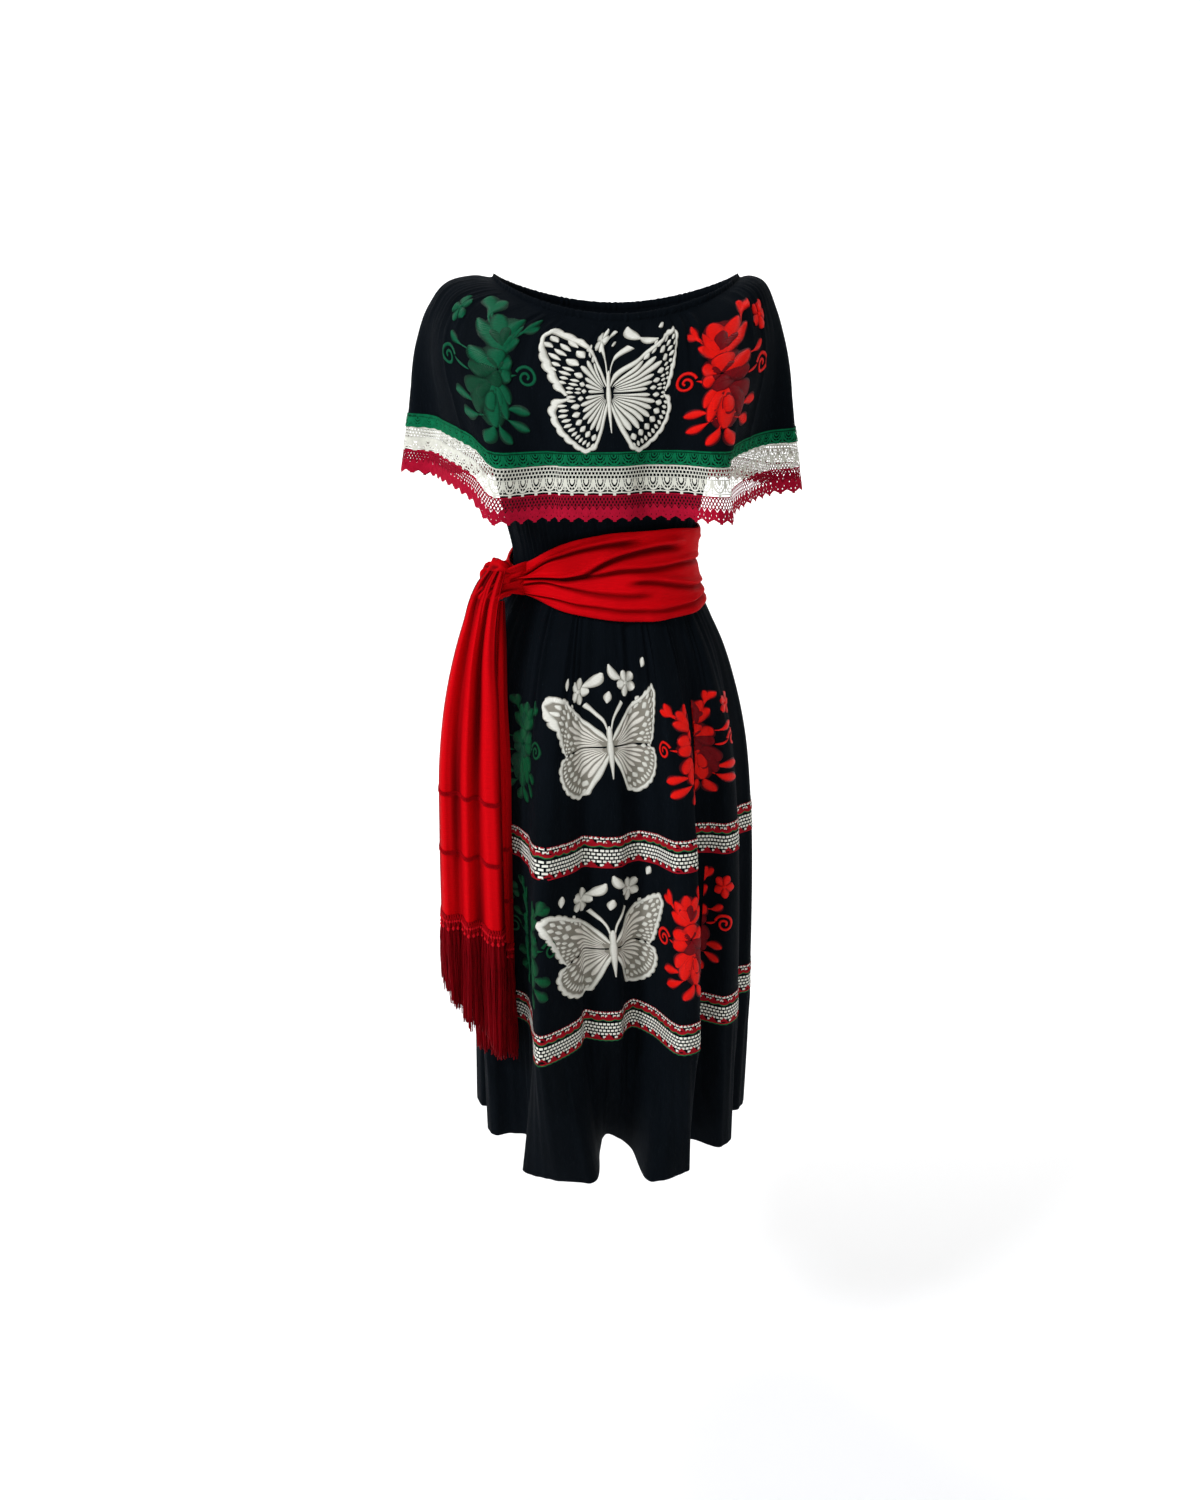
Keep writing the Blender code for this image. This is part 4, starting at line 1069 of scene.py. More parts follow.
# The small flowers, leaves and seeds above a butterfly.
def topSprays(onFlounce):
    if onFlounce:
        return blossom((-25, 58), 14, 80) + [
            leaf((-13, 58), (3, 68), 3.8, 0.15, blunt=0.1), spot((4, 54), 9, 2.8, 30),
            leaf((14, 74), (26, 58), 4.4, -0.15, blunt=0.1), leaf((24, 60), (46, 55), 3.8, -0.15, blunt=0.1),
            spot((52, 70), 11, 3.6, 20),
        ]
    return blossom((-29, 65), 15, 70) + blossom((29, 70), 15, 110) + [
        leaf((-20, 70), (-3, 84), 5.6, -0.16, blunt=0.1), leaf((20, 76), (4, 93), 5.6, 0.16, blunt=0.1),
        spot((-60, 76), 13, 5.0, 80), spot((1, 57), 13, 4.8, 75), spot((57, 90), 12, 5.0, 60),
    ]


# A generic embroidered bloom with buds, leaves and curls, in a bright and a deep thread.
def bouquet(plump):
    bright, deep = [], []

    # A bright petal or leaf over a wider rim of the deep thread, or one of the deep thread alone.
    def petal(start, end, halfWidth, bend=0.0, height=1.0, stem=0.0, isDeep=False):
        start, end = np.array(start, float), np.array(end, float)
        if isDeep:
            deep.append(frond(start, end, halfWidth * plump, bend, stem, height))
            return
        rim = (end - start) / (np.linalg.norm(end - start) + 1e-6) * 0.9
        deep.append(frond(start, end + rim, halfWidth * plump + 1.1, bend, stem, height - 0.45))
        bright.append(frond(start, end, halfWidth * plump, bend, stem, height))

    # Petals from left to right, of the deep thread from number deepFrom on.
    def fan(root, ends, halfWidth, height, stem=0.0, deepFrom=9):
        for k, end in enumerate(ends):
            bend = 0.12 * (2 * k / max(len(ends) - 1, 1) - 1)
            petal(root, end, halfWidth, bend, height + 0.15 * (k % 2), stem, k >= deepFrom)

    deep.append(leaf((0, 10), (0, 52), 15.0, 0, 12, 1.0, 0.6))
    deep.append(leaf((2, -10), (2, -58), 13.5, 0, 12, 1.0, 0.6))
    fan((1, 14), ((-19, 33), (-13, 47), (-1, 54), (12, 49), (20, 36)), 6.8, 1.0)
    fan((0, 20), ((-8, 38), (3, 43), (11, 34)), 4.6, 1.5, deepFrom=1)
    fan((2, -12), ((-17, -33), (-11, -49), (2, -58), (14, -50), (19, -35)), 6.6, 1.0, deepFrom=3)
    fan((2, -18), ((-6, -38), (4, -44), (10, -35)), 4.2, 1.5, deepFrom=2)
    for k in range(6):
        angle = 60 * k + 30
        near, far = polar((0, 1), 2, 2, angle), polar((0, 1), 21, 19, angle)
        petal(near, far, 8.4, -0.06, 1.6 + 0.15 * (k % 2), isDeep=k > 3)
    for k in range(5):
        angle = 54 + 72 * k
        petal(polar((0, 1), 1, 1, angle), polar((0, 1), 10, 10, angle), 3.4, 0.05, 2.1)
    fan((-6, 30), ((-34, 49), (-24, 59)), 4.8, 0.9, 0.45)
    fan((8, 34), ((19, 61), (31, 57)), 4.6, 0.9, 0.45)
    fan((14, 8), ((42, 12),), 4.0, 0.9, 0.4)
    bright += blossom((45, 36), 14.5, 60)
    bright += [curl((-38, -2), 12.5, 1.6, 20, 1, 1.7), curl((43, -12), 12.5, 1.6, 160, -1, 1.7)]
    bright += [leaf((-27, -1), (-14, -8), 1.7, 0.1), leaf((32, -9), (18, -12), 1.7, 0.1)]
    fan((0, -44), ((-38, -42), (-34, -61), (-13, -75)), 5.2, 0.9, 0.38)
    fan((3, -46), ((12, -76), (33, -64), (38, -45)), 5.2, 0.9, 0.38)
    return bright, deep


# A motif's flat size: how far it reaches left, right, up and down from its middle, in millimetres.
motifSizes = {
    "butterfly": {"left": 82, "right": 82, "up": 61, "below": 68},
    "bouquet": {"left": 52, "right": 58, "up": 62, "below": 77},
}


# Maps flat shapes in millimetres onto a cloth between the shares and drops that a place gives.
def sewOn(name, shapes, shape, place, size, material):
    flats, lifts, uvs, faces, count = [], [], [], [], 0
    for flat, lift, uv, face in shapes:
        flats.append(flat)
        lifts.append(lift)
        uvs.append(uv)
        faces.append(face + count)
        count += len(flat)
    flat, lift = np.concatenate(flats), np.concatenate(lifts)
    turn = math.radians(place["turn"])
    u = flat[:, 0] * math.cos(turn) - flat[:, 1] * math.sin(turn)
    v = flat[:, 0] * math.sin(turn) + flat[:, 1] * math.cos(turn)
    toLeft, toRight = place["middle"] - place["left"], place["right"] - place["middle"]
    toTop, toBottom = place["centre"] - place["top"], place["bottom"] - place["centre"]
    share = place["middle"] + np.where(u < 0, u * toLeft / size["left"], u * toRight / size["right"])
    faces = np.concatenate(faces)
    down = place["centre"] - np.where(v > 0, v * toTop / size["up"], v * toBottom / size["below"])
    uv = np.concatenate(uvs)
    # what crosses the fold is cut along its edge, and the rest goes on past it
    cut, shift = place["foldFrom"], place["foldTo"] - place["foldFrom"]
    over = share > cut
    crosses = over[faces].any(axis=1) & ~over[faces].all(axis=1)
    corner = faces[crosses].ravel()
    order = np.concatenate([np.arange(len(share)), corner, corner])
    near, far = np.minimum(share[corner], cut), np.maximum(share[corner], cut) + shift
    share = np.concatenate([share + over * shift, near, far])
    faces = np.concatenate([faces[~crosses], len(flat) + np.arange(2 * len(corner)).reshape(-1, 4)])
    points = pointsOn(shape, share, down[order], 0.25 + lift[order])
    return addMesh(name, points, faces, uv[order], material)


# where each motif lies: shares and drops of its edges and middle, its turn in degrees, and the deep fold it
# misses, so that left, middle and right leave out the cloth between foldFrom and foldTo
motifs = table(
    "name left middle right top centre bottom turn foldFrom foldTo",
    [
        ("butterflyFlounce", 0.1984, 0.2560, 0.3025, 20, 88, 157, 0, 9, 9),
        ("butterflyUpper", 0.1655, 0.2344, 0.2910, 492, 559, 619, 4, 9, 9),
        ("butterflyLower", 0.1690, 0.2369, 0.2930, 758, 824, 884, 3, 9, 9),
        ("redFlounce", 0.2965, 0.3480, 0.4230, 22, 84, 153, 0, 9, 9),
        ("redUpper", 0.2880, 0.3400, 0.4180, 500, 558, 631, 4, 0.340, 0.373),
        ("redLower", 0.2850, 0.3230, 0.3590, 732, 800, 879, 4, 0.331, 0.385),
        ("greenFlounce", 0.1080, 0.1580, 0.2080, 9, 75, 150, 0, 9, 9),
        ("greenUpper", 0.0780, 0.1200, 0.1720, 500, 560, 632, 0, 9, 9),
        ("greenLower", 0.0930, 0.1260, 0.1520, 736, 800, 882, 0, 0.127, 0.157),
    ],
)
for place in motifs:
    name = place["name"]
    onFlounce, isRed = name.endswith("Flounce"), name.startswith("red")
    if name.startswith("butterfly"):
        size = motifSizes["butterfly"]
        border, cells, spots, ground = butterfly(0.43 if onFlounce else 0.485)
        made = [
            ("Border", border + topSprays(onFlounce), whiteFloss),
            ("Cells", cells, whiteFloss if onFlounce else creamFloss),
            ("Spots", spots, whiteFloss),
            ("Ground", ground, groundFloss),
        ]
        if onFlounce:
            made.pop()
    else:
        size = motifSizes["bouquet"]
        bright, deep = bouquet(1.0 if onFlounce else 1.15)
        if isRed:
            made = [("Bright", bright, redFloss), ("Deep", deep, deepRedFloss)]
        else:
            # the skirt's green motifs take the darker copy of the green floss, as painted shade
            leafFloss = greenFloss if onFlounce else greenFlossShaded
            made = [("Bright", mirrored(bright), leafFloss), ("Deep", mirrored(deep), deepGreenFloss)]
    for part, shapes, floss in made:
        shape = flounceShape if onFlounce else skirtShape
        sewOn(name + part, shapes, shape, place, size, floss)
print("embroidery made")

# sash
sashEdge = table(
    "bearing top bottom",
    [
        (211, -346, -370), (222, -334, -378), (240, -314, -391), (270, -298, -403), (315, -293, -406),
        (360, -303, -398), (420, -300, -398), (480, -306, -395), (515, -332, -392), (540, -344, -388),
        (560, -343, -380), (571, -346, -370),
    ],
)
sashPiece = {
    "start": 211, "columns": 560, "rows": 100, "offBody": 3.6, "gap": 3.0, "bunch": 1.9, "thick": 4.6,
    "most": 12.0, "calm": 366, "girth": 0.82,
}
# creases run into the knot: each is a line of (bearing, share of the sash's height), with its depth and reach
sashCreases = table(
    "deep wide line",
    [
        (3.4, 0.034, [(214, 0.60), (231, 0.22), (245, 0.17), (268, 0.14), (300, 0.10)]),
        (3.8, 0.036, [(214, 0.50), (227, 0.50), (258, 0.49), (272, 0.35), (293, 0.24), (330, 0.20)]),
        (3.0, 0.030, [(240, 0.54), (258, 0.50), (296, 0.44), (333, 0.42), (370, 0.46)]),
        (2.4, 0.034, [(214, 0.80), (227, 0.60), (246, 0.66), (282, 0.72), (310, 0.74)]),
        (2.8, 0.030, [(286, 0.60), (306, 0.59), (346, 0.76), (385, 0.80)]),
        (
            2.2, 0.026,
            [(216, 0.92), (240, 0.86), (270, 0.88), (320, 0.90), (380, 0.90), (480, 0.88), (560, 0.85)],
        ),
        (3.2, 0.034, [(350, 0.20), (400, 0.30), (450, 0.26), (520, 0.34), (566, 0.48)]),
        (3.2, 0.034, [(380, 0.62), (430, 0.55), (480, 0.60), (530, 0.52), (566, 0.55)]),
        (2.6, 0.032, [(450, 0.78), (500, 0.72), (545, 0.66), (566, 0.60)]),
    ],
)
dressRows = [172, 250, 300, 345.9, 385, 430, 500]


# How far the dress reaches out at bearings, at a drop.
def dressReach(bearing, drop):
    if drop < waistSeam:
        return np.hypot(*formOval(bearing, drop))
    x, y = foldedRing(np.linspace(0, 1, 1441), drop)
    return np.interp(bearing % 360, np.degrees(np.arctan2(y, x)) % 360, np.hypot(x, y), period=360)


# A soft hump round 0, as wide as width says.
def hump(value, width):
    return np.exp(-((value / width) ** 2))


first, last = sashPiece["start"], sashPiece["start"] + 360
bearing = first + np.linspace(sashPiece["gap"], 360 - sashPiece["gap"], sashPiece["columns"])
reaches = np.array([dressReach(bearing, drop) for drop in dressRows])
away = np.minimum(bearing - first, last - bearing)
bunch = 1 + sashPiece["bunch"] * hump(away, 16)
top, bottom = (column(sashEdge, "bearing", key, bearing) for key in ("top", "bottom"))
round01 = (bearing - bearing[0]) / (bearing[-1] - bearing[0])
calmSide = 1 - 0.6 * hump(bearing - sashPiece["calm"], 24)
grid, uv, paintedShade = [], [], []
for share in np.linspace(0, 1, sashPiece["rows"]):
    z = top + (bottom - top) * share + 1.2 * wander(round01, 7, 20.0) * (abs(share - 0.5) * 2) ** 4
    near = np.array([np.interp(-z[k], dressRows, reaches[:, k]) for k in range(len(z))])
    thick = sashPiece["thick"] + 1.2 * math.sin(math.pi * share)
    thick = thick + 0.5 * wander(round01 + share * 0.05, 17, 21.0)
    # closed gathers a painted shade along each crease
    closed = 0 * bearing
    for k, crease in enumerate(sashCreases):
        turns, shares = np.array(crease["line"], float).T
        line = hermite(turns, shares, bearing) + 0.012 * wander(round01, 9, 22.0 + k)
        ends = fade(bearing, turns[0] - 1, turns[0] + 12) * (1 - fade(bearing, turns[-1] - 16, turns[-1]))
        offset = (share - line) / (crease["wide"] * (0.65 + 0.4 * fade(away, 0, 90)))
        roll = 0.75 * hump(offset + 1.7, 1.3) - hump(offset, 1) + 0.2 * hump(offset - 2.2, 1.6)
        thick = thick + 2.0 * crease["deep"] * ends * calmSide * roll
        closed = closed + 0.24 * crease["deep"] * ends * (0.45 + 0.55 * calmSide) * hump(offset - 0.25, 1.1)
    curlIn = 2.6 * (math.exp(-share / 0.03) + math.exp(-(1 - share) / 0.03))
    thick = np.clip(thick + 1.2 - curlIn, 0.2, sashPiece["most"])
    far = near + sashPiece["offBody"] + thick * bunch * 0.98
    grid.append(np.stack([*(far * part for part in polarArrays(bearing)), z], 1))
    uv.append(np.stack([round01 * sashPiece["girth"], 0 * z - share * 0.1], 1))
    # painted shade: in the creases, near the knot and along the lower edge
    paintedShade.append(np.clip(closed + 0.45 * hump(away, 9) + 0.3 * math.exp(-(1 - share) / 0.05), 0, 0.85))
for row, place, lift, along in ((0, 0, -1.2, 0.002), (-1, len(grid) + 1, 1.2, -0.002)):
    # both edges turn in behind
    turned = grid[row] + [0, 0, lift]
    size = np.hypot(*turned[:, :2].T)
    turned[:, :2] *= ((size - 2.0) / size)[:, None]
    grid.insert(place, turned)
    uv.insert(place, uv[row] + [0, along])
    paintedShade.insert(place, paintedShade[row])
wrapGrid, uv, paintedShade = np.array(grid), np.array(uv), np.array(paintedShade)
sashWrap = clothPiece("sashWrap", wrapGrid * mm, uv, sashCloth, ["sash_wrap"], paintedShade=paintedShade)
sheets.append((sashWrap, (0.85, 0.12), "folded", ["bodice_front", "skirt_front"]))

# the knot: a lump of wound cloth with slanting folds
knotRings = table(
    "along radius tall lift",
    [
        (-21, 8, 9, 1), (-17, 15, 17, 1), (-8, 19.7, 23, 0), (0, 19.7, 25, 0), (5, 17, 21, 0),
        (10, 19, 24, -1), (17, 16, 19, -3), (22, 9, 9, -5),
    ],
)
knotPiece = {"rows": 60, "columns": 96, "start": -22.5, "end": 23.5, "rounding": 4, "girth": 0.13}
knotCentre = np.array([-128.5, -82.3, -357.0])
tangent, upward = np.array([-0.86, 0.42, -0.28]), np.array([-0.25, 0.1, 0.96])
angle = tau * np.arange(knotPiece["columns"]) / knotPiece["columns"]
outside = np.cross(tangent, upward) * np.cos(angle)[:, None]
upside = upward * np.sin(angle)[:, None]
grid, uv, paintedShade = [], [], []
for t in np.linspace(knotPiece["start"], knotPiece["end"], knotPiece["rows"]):
    end = np.clip(min(t - knotPiece["start"], knotPiece["end"] - t) / knotPiece["rounding"], 0.0001, 1) ** 0.5
    radius, tall, lift = (float(column(knotRings, "along", key, t)) for key in ("radius", "tall", "lift"))
    ridge = 0.065 * np.sin(5 * angle + t * 0.16) + 0.05 * np.sin(9 * angle - t * 0.22 + 1.3)
    ridge = (1 + ridge + 0.02 * np.sin(17 * angle + t * 0.3))[:, None]
    centre = knotCentre + tangent * t + np.array([0, 0, lift])
    grid.append(centre + (outside * radius + upside * tall) * end * ridge)
    uv.append(np.stack([angle / tau * knotPiece["girth"], 0 * angle + t * mm], 1))
    # painted shade in the grooves between the knot's folds
    paintedShade.append(np.clip((1.0 - ridge[:, 0]) * 6.5, 0.05, 0.7))
grid, uv, paintedShade = np.array(grid) * mm, np.array(uv), np.array(paintedShade)
knot = clothPiece("sashKnot", grid, uv, sashCloth, ["sash_knot"], closed=True, paintedShade=paintedShade)

# the two hanging ends
frontTail = table(
    "z x y width depth",
    [
        (-343, -130, -103, 24, 4), (-356, -137, -106, 32, 8), (-378, -145, -111, 38, 13),
        (-406, -151, -115, 43, 20), (-440, -157, -118, 52, 26), (-505, -163, -127, 70, 30),
        (-580, -167, -136, 80, 30), (-680, -168, -140, 84, 30), (-790, -168, -143, 86, 30),
    ],
)
backTail = table(
    "z x y width depth",
    [
        (-383.4, -129, -88, 16, 6), (-432, -136, -99, 34, 8), (-505, -141, -113, 46, 8),
        (-580, -142, -121, 54, 8), (-680, -143, -126, 56, 8), (-760, -143, -127, 56, 8),
        (-836, -143, -127, 56, 8),
    ],
)
pleats = table(
    "across out",
    [
        (-0.50, 0.42), (-0.48, 0.0), (-0.38, -0.36), (-0.19, 0.10), (-0.05, -0.42), (0.13, 0.14),
        (0.28, -0.46), (0.45, -0.22), (0.50, 0.30),
    ],
)
flatPleats = table("across out", [(-0.50, 0.10), (-0.25, -0.40), (0.0, -0.10), (0.25, -0.45), (0.50, 0.20)])
tailTilt, tailSlant = -0.32, -16.0


# Where points of a hanging end's cloth lie in its section: how far across and how far out.
def pleated(section, across01):
    order, fine = np.linspace(0, 1, len(section)), np.linspace(0, 1, 400)
    wide, deep = (
        hermite(order, np.array([row[key] for row in section], float), fine) for key in ("across", "out")
    )
    run = runAlong(np.stack([wide, 0.35 * deep], 1))
    at = np.asarray(across01) * run[-1]
    return np.interp(at, run, wide), np.interp(at, run, deep)


# Points of a hanging end: across01 over its cloth, level from the knot (0) to its edge (1).
def tailPoints(rows, section, across01, level, slant):
    wide, deep = pleated(section, across01)
    z = rows[0]["z"] + (rows[-1]["z"] - rows[0]["z"]) * level
    centreX, centreY, width, depth = (column(rows, "z", key, z) for key in ("x", "y", "width", "depth"))
    ripple = 1.1 * np.sin(across01 * 31 + level * 3) + 0.7 * np.sin(across01 * 53 - level * 5)
    ripple = ripple * (1.7 - fade(level, 0.05, 0.3))
    x, y = centreX + wide * width, centreY + deep * depth + tailTilt * wide * width + ripple
    return np.stack([x, y, z + slant * level * (wide + 0.5)], -1)


# A hanging end in lengths parted by open-work lines.
def tailPiece(name, rows, section, slant, columns, gaps, replaces):
    across = np.linspace(0, 1, columns)
    edges = [0.0, *(edge for gap in gaps for edge in gap), 1.0]
    points, uvs, faces, paintedShades, count = [], [], [], [], 0
    length = rows[0]["z"] - rows[-1]["z"]
    for low, high in zip(edges[::2], edges[1::2]):
        n = max(3, int((high - low) * 170))
        level = np.linspace(low, high, n)[:, None]
        points.append(tailPoints(rows, section, across[None, :], level, slant).reshape(-1, 3))
        uv = np.stack(np.broadcast_arrays(across[None, :] * 0.2, -level * length * mm), -1)
        uvs.append(uv.reshape(-1, 2))
        faces.append(gridFaces(n, columns) + count)
        # painted shade in the pleats' hollows, uneven along them, and under the knot at the top
        slow = 0.75 + 0.25 * np.sin(level * 9 + across[None, :] * 7)
        pleatShade = 0.8 * fade(pleated(section, across)[1], -0.30, 0.14)
        paintedShades.append((pleatShade[None, :] * slow + 0.25 * fade(-level, -0.16, 0)).ravel())
        count += n * columns
    points, faces, uvs, paintedShades = (np.concatenate(part) for part in (points, faces, uvs, paintedShades))
    paintedShades = np.clip(paintedShades, 0, 0.85)
    return addMesh(name, points * mm, faces, uvs, sashCloth, replaces, paintedShade=paintedShades)


# A thin thread along a path: its points and faces.
def tube(path, radius, sides):
    path = np.asarray(path, float)
    along = unit(np.gradient(path, axis=0))
    helper = np.where(np.abs(along[:, 2:3]) > 0.9, np.array([[1.0, 0, 0]]), np.array([[0, 0, 1.0]]))
    one = unit(np.cross(along, helper))
    angle = tau * np.arange(sides)[None, :, None] / sides
    around = one[:, None] * np.cos(angle) + np.cross(along, one)[:, None] * np.sin(angle)
    ring = path[:, None] + np.broadcast_to(radius, len(path))[:, None, None] * around
    return ring.reshape(-1, 3), gridFaces(len(path), sides, closed=True)


# A piece of thin threads: paths are (points, radius, sides, number of the thread in materials).
def threadsPiece(name, paths, materials, replaces=()):
    points, faces, uvs, threadOf, count = [], [], [], [], 0
    for path, radius, sides, thread in paths:
        p, f = tube(path, radius, sides)
        points.append(p)
        faces.append(f + count)
        threadOf += [thread] * len(f)
        run = np.repeat(np.linspace(0, 0.15, len(path)), sides)
        uvs.append(np.stack([np.tile(np.arange(sides) * 0.001, len(path)), run], 1))
        count += len(p)
    points, faces, uvs = (np.concatenate(part) for part in (points, faces, uvs))
    piece = addMesh(name, points * mm, faces, uvs, materials, replaces, threadOf=threadOf)
    print(name, 2 * len(faces), "triangles")
    return piece


# the length that leaves the wrap, turns over the knot and runs down into the front end
turnPiece = {"rows": 46, "columns": 40, "leaves": 12, "joins": 0.075, "width": 0.09, "length": 0.06}
wrapEnd = wrapGrid[2:-2, turnPiece["leaves"]]
across = np.linspace(0, 1, turnPiece["columns"])
onWrap = np.linspace(0, 1, len(wrapEnd))
start = np.stack([np.interp(across, onWrap, wrapEnd[:, k]) for k in range(3)], 1)
end = tailPoints(frontTail, pleats, across, turnPiece["joins"], tailSlant)
outStart = np.array([-26.0, -34.0, 10.0]) + np.array([0, 0, -6.0]) * across[:, None]
downEnd = np.array([-8.0, 0.0, -44.0])
down01 = np.linspace(0, 1, turnPiece["rows"])[:, None]
t = down01[:, :, None]
over = (2 * t**3 - 3 * t**2 + 1) * start + (t**3 - 2 * t**2 + t) * outStart
over = over + (3 * t**2 - 2 * t**3) * end + (t**3 - t**2) * downEnd
fold = 2.0 * np.sin(across * 22 + 0.5) + 1.2 * np.sin(across * 37 + 2 * down01)
fold = fold * np.sin(math.pi * down01)
bow = np.stack([-0.4 * fold, -0.9 * fold, 0.25 * fold], -1)
sizes = (across[None, :] * turnPiece["width"], -down01 * turnPiece["length"])
uv = np.stack(np.broadcast_arrays(*sizes), -1)
# painted shade over the whole turn, deeper where the fold sinks in
paintedShade = np.clip(0.25 - fold * 0.16, 0, 0.7)
sashTurn = clothPiece("sashTurn", (over + bow) * mm, uv, sashCloth, [], paintedShade=paintedShade)

openWork = [(0.622, 0.630), (0.800, 0.808)]
openWorkBack = [(0.700, 0.708), (0.860, 0.868)]
tailFront = tailPiece("sashEndFront", frontTail, pleats, tailSlant, 90, openWork, ["sash_tail_front"])
tailBack = tailPiece("sashEndBack", backTail, flatPleats, 0.0, 44, openWorkBack, ["sash_tail_back"])
sheets.append((tailFront, (0.155, 0.45), "folded", ["sash_knot"]))
sheets.append((tailBack, (0.062, 0.45), "hung", ["sash_knot"]))

bridges = []
for rows, section, slant, gaps, count in (
    (frontTail, pleats, tailSlant, openWork, 52), (backTail, flatPleats, 0.0, openWorkBack, 20),
):
    for low, high in gaps:
        for k in range(count):
            a, b = (k + 0.15) / count, (k + 0.85) / count
            for start, end in ((a, b), (b, a), (a, a), (b, b), ((a + b) / 2, (a + b) / 2)):
                t = np.linspace(-0.25, 1.25, 5)
                path = tailPoints(rows, section, start + (end - start) * t, low + (high - low) * t, slant)
                path[:, 1] -= (0.9 if start < end else 0.5) if start != end else -0.5
                bridges.append((path, 0.72, 4, 0))
openWorkThreads = threadsPiece("sashOpenWork", bridges, [headerThread])


# Threads knotted in two crossed rows below the cloth's edge, then hanging in bunches, with a layer of shorter
# strands behind. Numbers of the threads: 0 strand, darker as painted shade, 1 header, 2 knot, lighter as
# painted light.
def fringePaths(rows, section, slant, strands, length, longer, seed):
    paths = []
    knotOne, knotTwo, half = 7.0, 17.0, 0.5 / strands

    def edgeAt(across01):
        at = np.array([min(max(across01, 0), 1)])
        return tailPoints(rows, section, at, np.array([1.0]), slant)[0]

    def addKnot(point, above, out, below, radii):
        line = np.array([point + [0, 0, above], point + [0, out, 0], point - [0, 0, below]])
        paths.append((line, np.array(radii), 6, 2))

    for k in range(strands):
        centre = (k + 0.5) / strands
        total = length + longer * (k / strands) ** 0.7 + 6 * math.sin(k * 2.3 + seed)
        left, right = edgeAt(centre - half), edgeAt(centre + half)
        first = edgeAt(centre) + np.array([0, -0.6, -knotOne])
        for start in (left, right):
            line = [start + [0, 0, 1.5], (start + first) / 2 + [0, -0.8, 0], first]
            paths.append((smoothPath(line, 5), 1.15, 4, 1))
        addKnot(first, 2.2, -0.4, 2.4, [0.9, 2.1, 1.0])
        shift = (right - left) * (0.5 if k % 2 == 0 else -0.5)
        second = first + shift * 0.9 + np.array([0, -0.3, knotOne - knotTwo])
        paths.append((smoothPath([first, (first + second) / 2, second], 5), 1.3, 4, 1))
        if k % 2 == 0:
            addKnot(second, 2.6, -0.5, 3.0, [1.0, 2.5, 1.2])
        for m in range(5):
            edge = edgeAt(centre + (m - 2) * half * 0.4)
            line = [edge + [0, 0.6, 2.0], edge + [0, 1.3, -12], edge + [0, 1.2, -54 - 5 * (m % 3)]]
            paths.append((np.array(line), 0.85, 3, 0))
        t = np.linspace(0, 1, 9)
        for m in range(11):
            turn = tau * m / 11 + k
            spread = ((1.2 if m % 2 else 2.8) + 0.6 * math.sin(m * 3.7 + k)) * fade(t, 0, 0.25)
            end = total - knotTwo + 5 * math.sin(m * 5.1 + k * 1.3)
            sway = 3.0 * math.sin(k * 0.33 + seed) * t**1.5 + 0.7 * np.sin(t * 7 + m + k) * t
            x = second[0] + spread * math.cos(turn) + sway
            y = second[1] + spread * math.sin(turn) + 0.5 * np.sin(t * 5 + k)
            paths.append((np.stack([x, y, second[2] - end * t], 1), 0.8, 3, 0))
    return paths


# the strands' darker tone is painted shade and the knots' lighter tone is painted light
fringeThreads = [fringeShadedThread, headerThread, knotLitThread]
frontPaths = fringePaths(frontTail, pleats, tailSlant, 36, 88, 98, 0.0)
backPaths = fringePaths(backTail, flatPleats, 0.0, 18, 152, 12, 2.0)
fringeFront = threadsPiece("sashFringeFront", frontPaths, fringeThreads, ["sash_fringe_front"])
fringeBack = threadsPiece("sashFringeBack", backPaths, fringeThreads, ["sash_fringe_back"])
print("sash made")

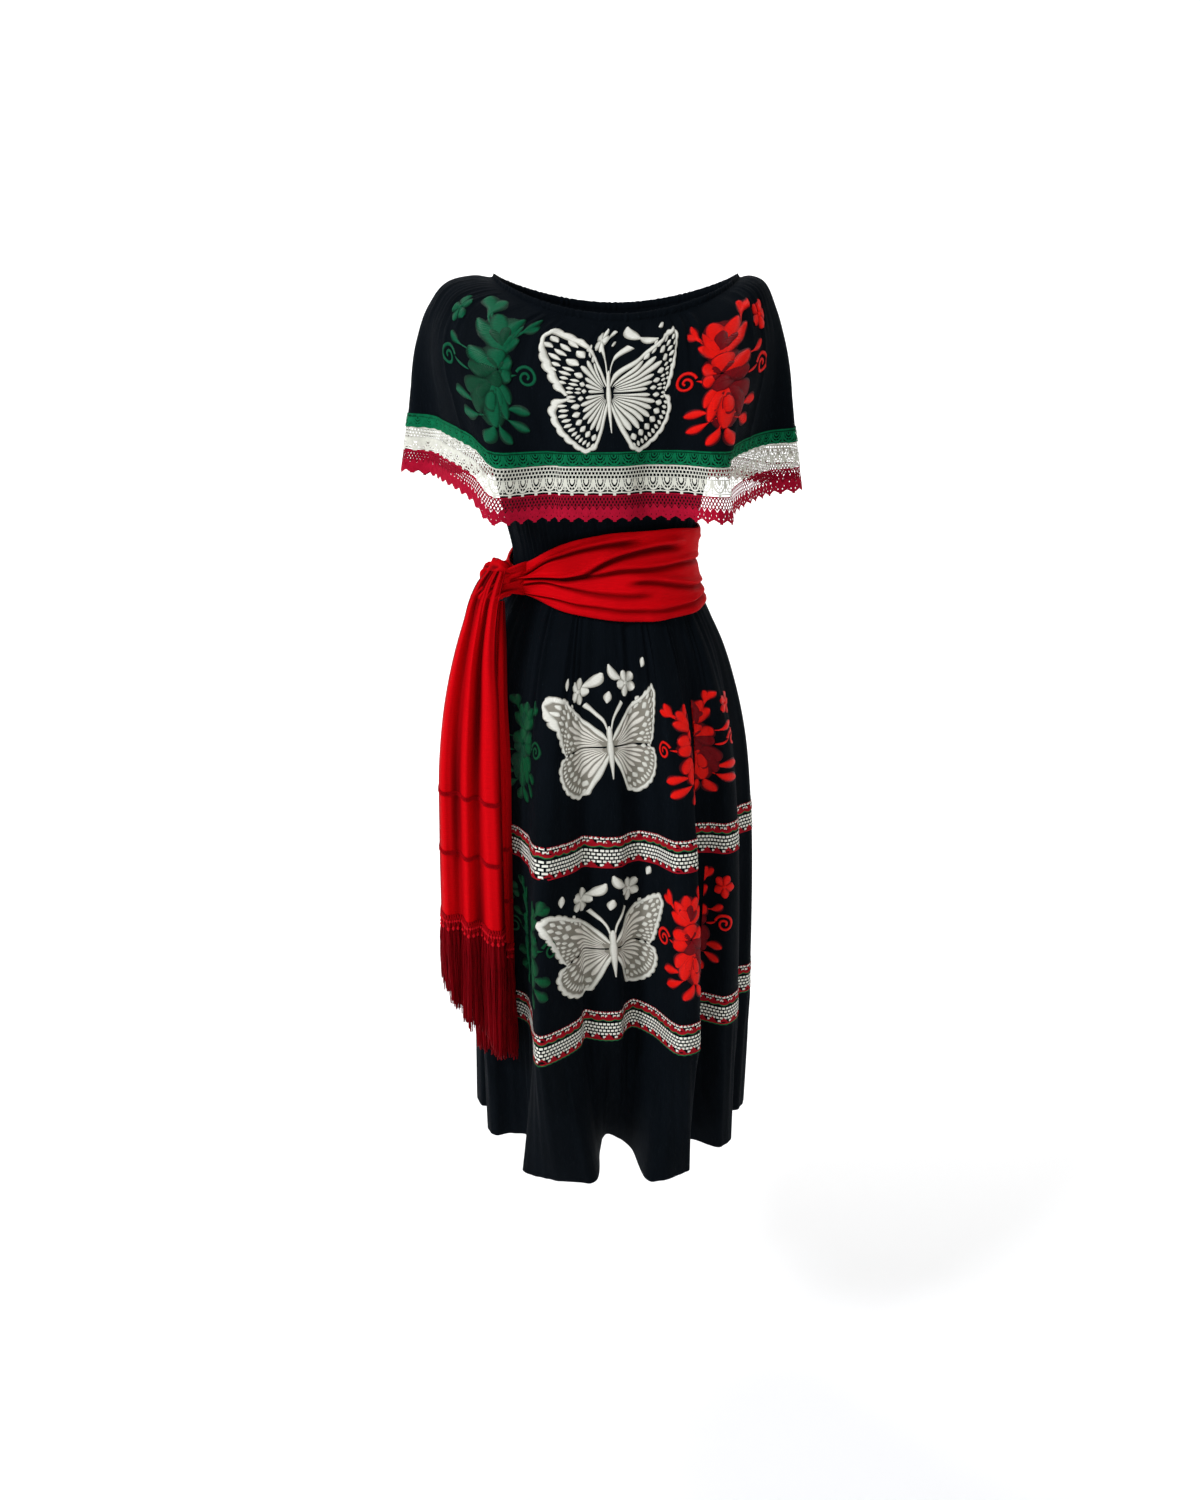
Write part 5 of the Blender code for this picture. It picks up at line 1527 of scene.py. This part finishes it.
# room, light and camera
room = {"floorZ": -1.43, "size": 14.0, "white": "#fafafa"}
floorMaterial, _, floorShader = startMaterial("paleFloor", 0.9, 0.0, 0.1)
floorShader["Base Color"].default_value = linear(room["white"])
profile = [(-6.0, 0.0), (3.2, 0.0), (4.0, 0.12), (4.6, 0.5), (4.9, 1.2), (5.0, 6.0)]
path = smoothPath(profile, 40)
sides = (-room["size"] / 2, room["size"] / 2)
points = [(x, y, room["floorZ"] + z) for y, z in path for x in sides]
faces = [[2 * k, 2 * k + 1, 2 * k + 3, 2 * k + 2] for k in range(len(path) - 1)]
floorMesh = bpy.data.meshes.new("paleFloor")
floorMesh.from_pydata(points, [], faces)
floorMesh.materials.append(floorMaterial)
floorMesh.shade_smooth()
floor = bpy.data.objects.new("paleFloor", floorMesh)
bpy.context.scene.collection.objects.link(floor)


# A round soft light that looks at a target.
def areaLight(name, place, target, size, power, colour):
    light = bpy.data.lights.new(name, "AREA")
    light.shape, light.size, light.energy, light.color = "DISK", size, power, linear(colour)[:3]
    obj = bpy.data.objects.new(name, light)
    bpy.context.scene.collection.objects.link(obj)
    obj.location = place
    direction = np.array(target) - np.array(place)
    flat = math.hypot(direction[0], direction[1])
    turn = math.atan2(direction[1], direction[0]) - math.pi / 2
    obj.rotation_euler = (math.atan2(flat, -direction[2]), 0, turn)


# a window to the left of the dress, a weak fill in front, and two lights for the backdrop
areaLight("window", (-2.5, -1.9, 1.7), (0, 0, -0.5), 1.0, 105, "#f6f8ff")
areaLight("front", (1.3, -2.8, 0.5), (0, 0, -0.5), 1.6, 10, "#ffffff")
for name, side in (("backdropLeft", -1), ("backdropRight", 1)):
    areaLight(name, (1.8 * side, 1.6, 2.6), (0.8 * side, 4.8, -0.6), 1.5, 110, "#ffffff")
world = bpy.data.worlds.new("paleRoom")
bpy.context.scene.world = world
world.use_nodes = True
sky = world.node_tree.nodes["Background"].inputs
sky[0].default_value, sky[1].default_value = (1, 1, 1, 1), 0.42
bpy.context.scene.view_settings.view_transform = "Standard"

# the photograph's angle: focal length in pixels of a picture 1500 high, with the origin level with the camera
view = {"distance": 1.8, "down": 16.8, "focal": 1392, "high": 1500, "sensor": 36, "shift": (-0.0007, -0.032)}
cameraData = bpy.data.cameras.new("camera")
camera = bpy.data.objects.new("camera", cameraData)
bpy.context.scene.collection.objects.link(camera)
camera.location = (0, -view["distance"], 0)
camera.rotation_euler = (math.radians(90 - view["down"]), 0, 0)
cameraData.sensor_width = view["sensor"]
cameraData.lens = view["focal"] * view["sensor"] / view["high"]
cameraData.shift_x, cameraData.shift_y = view["shift"]
bpy.context.scene.camera = camera
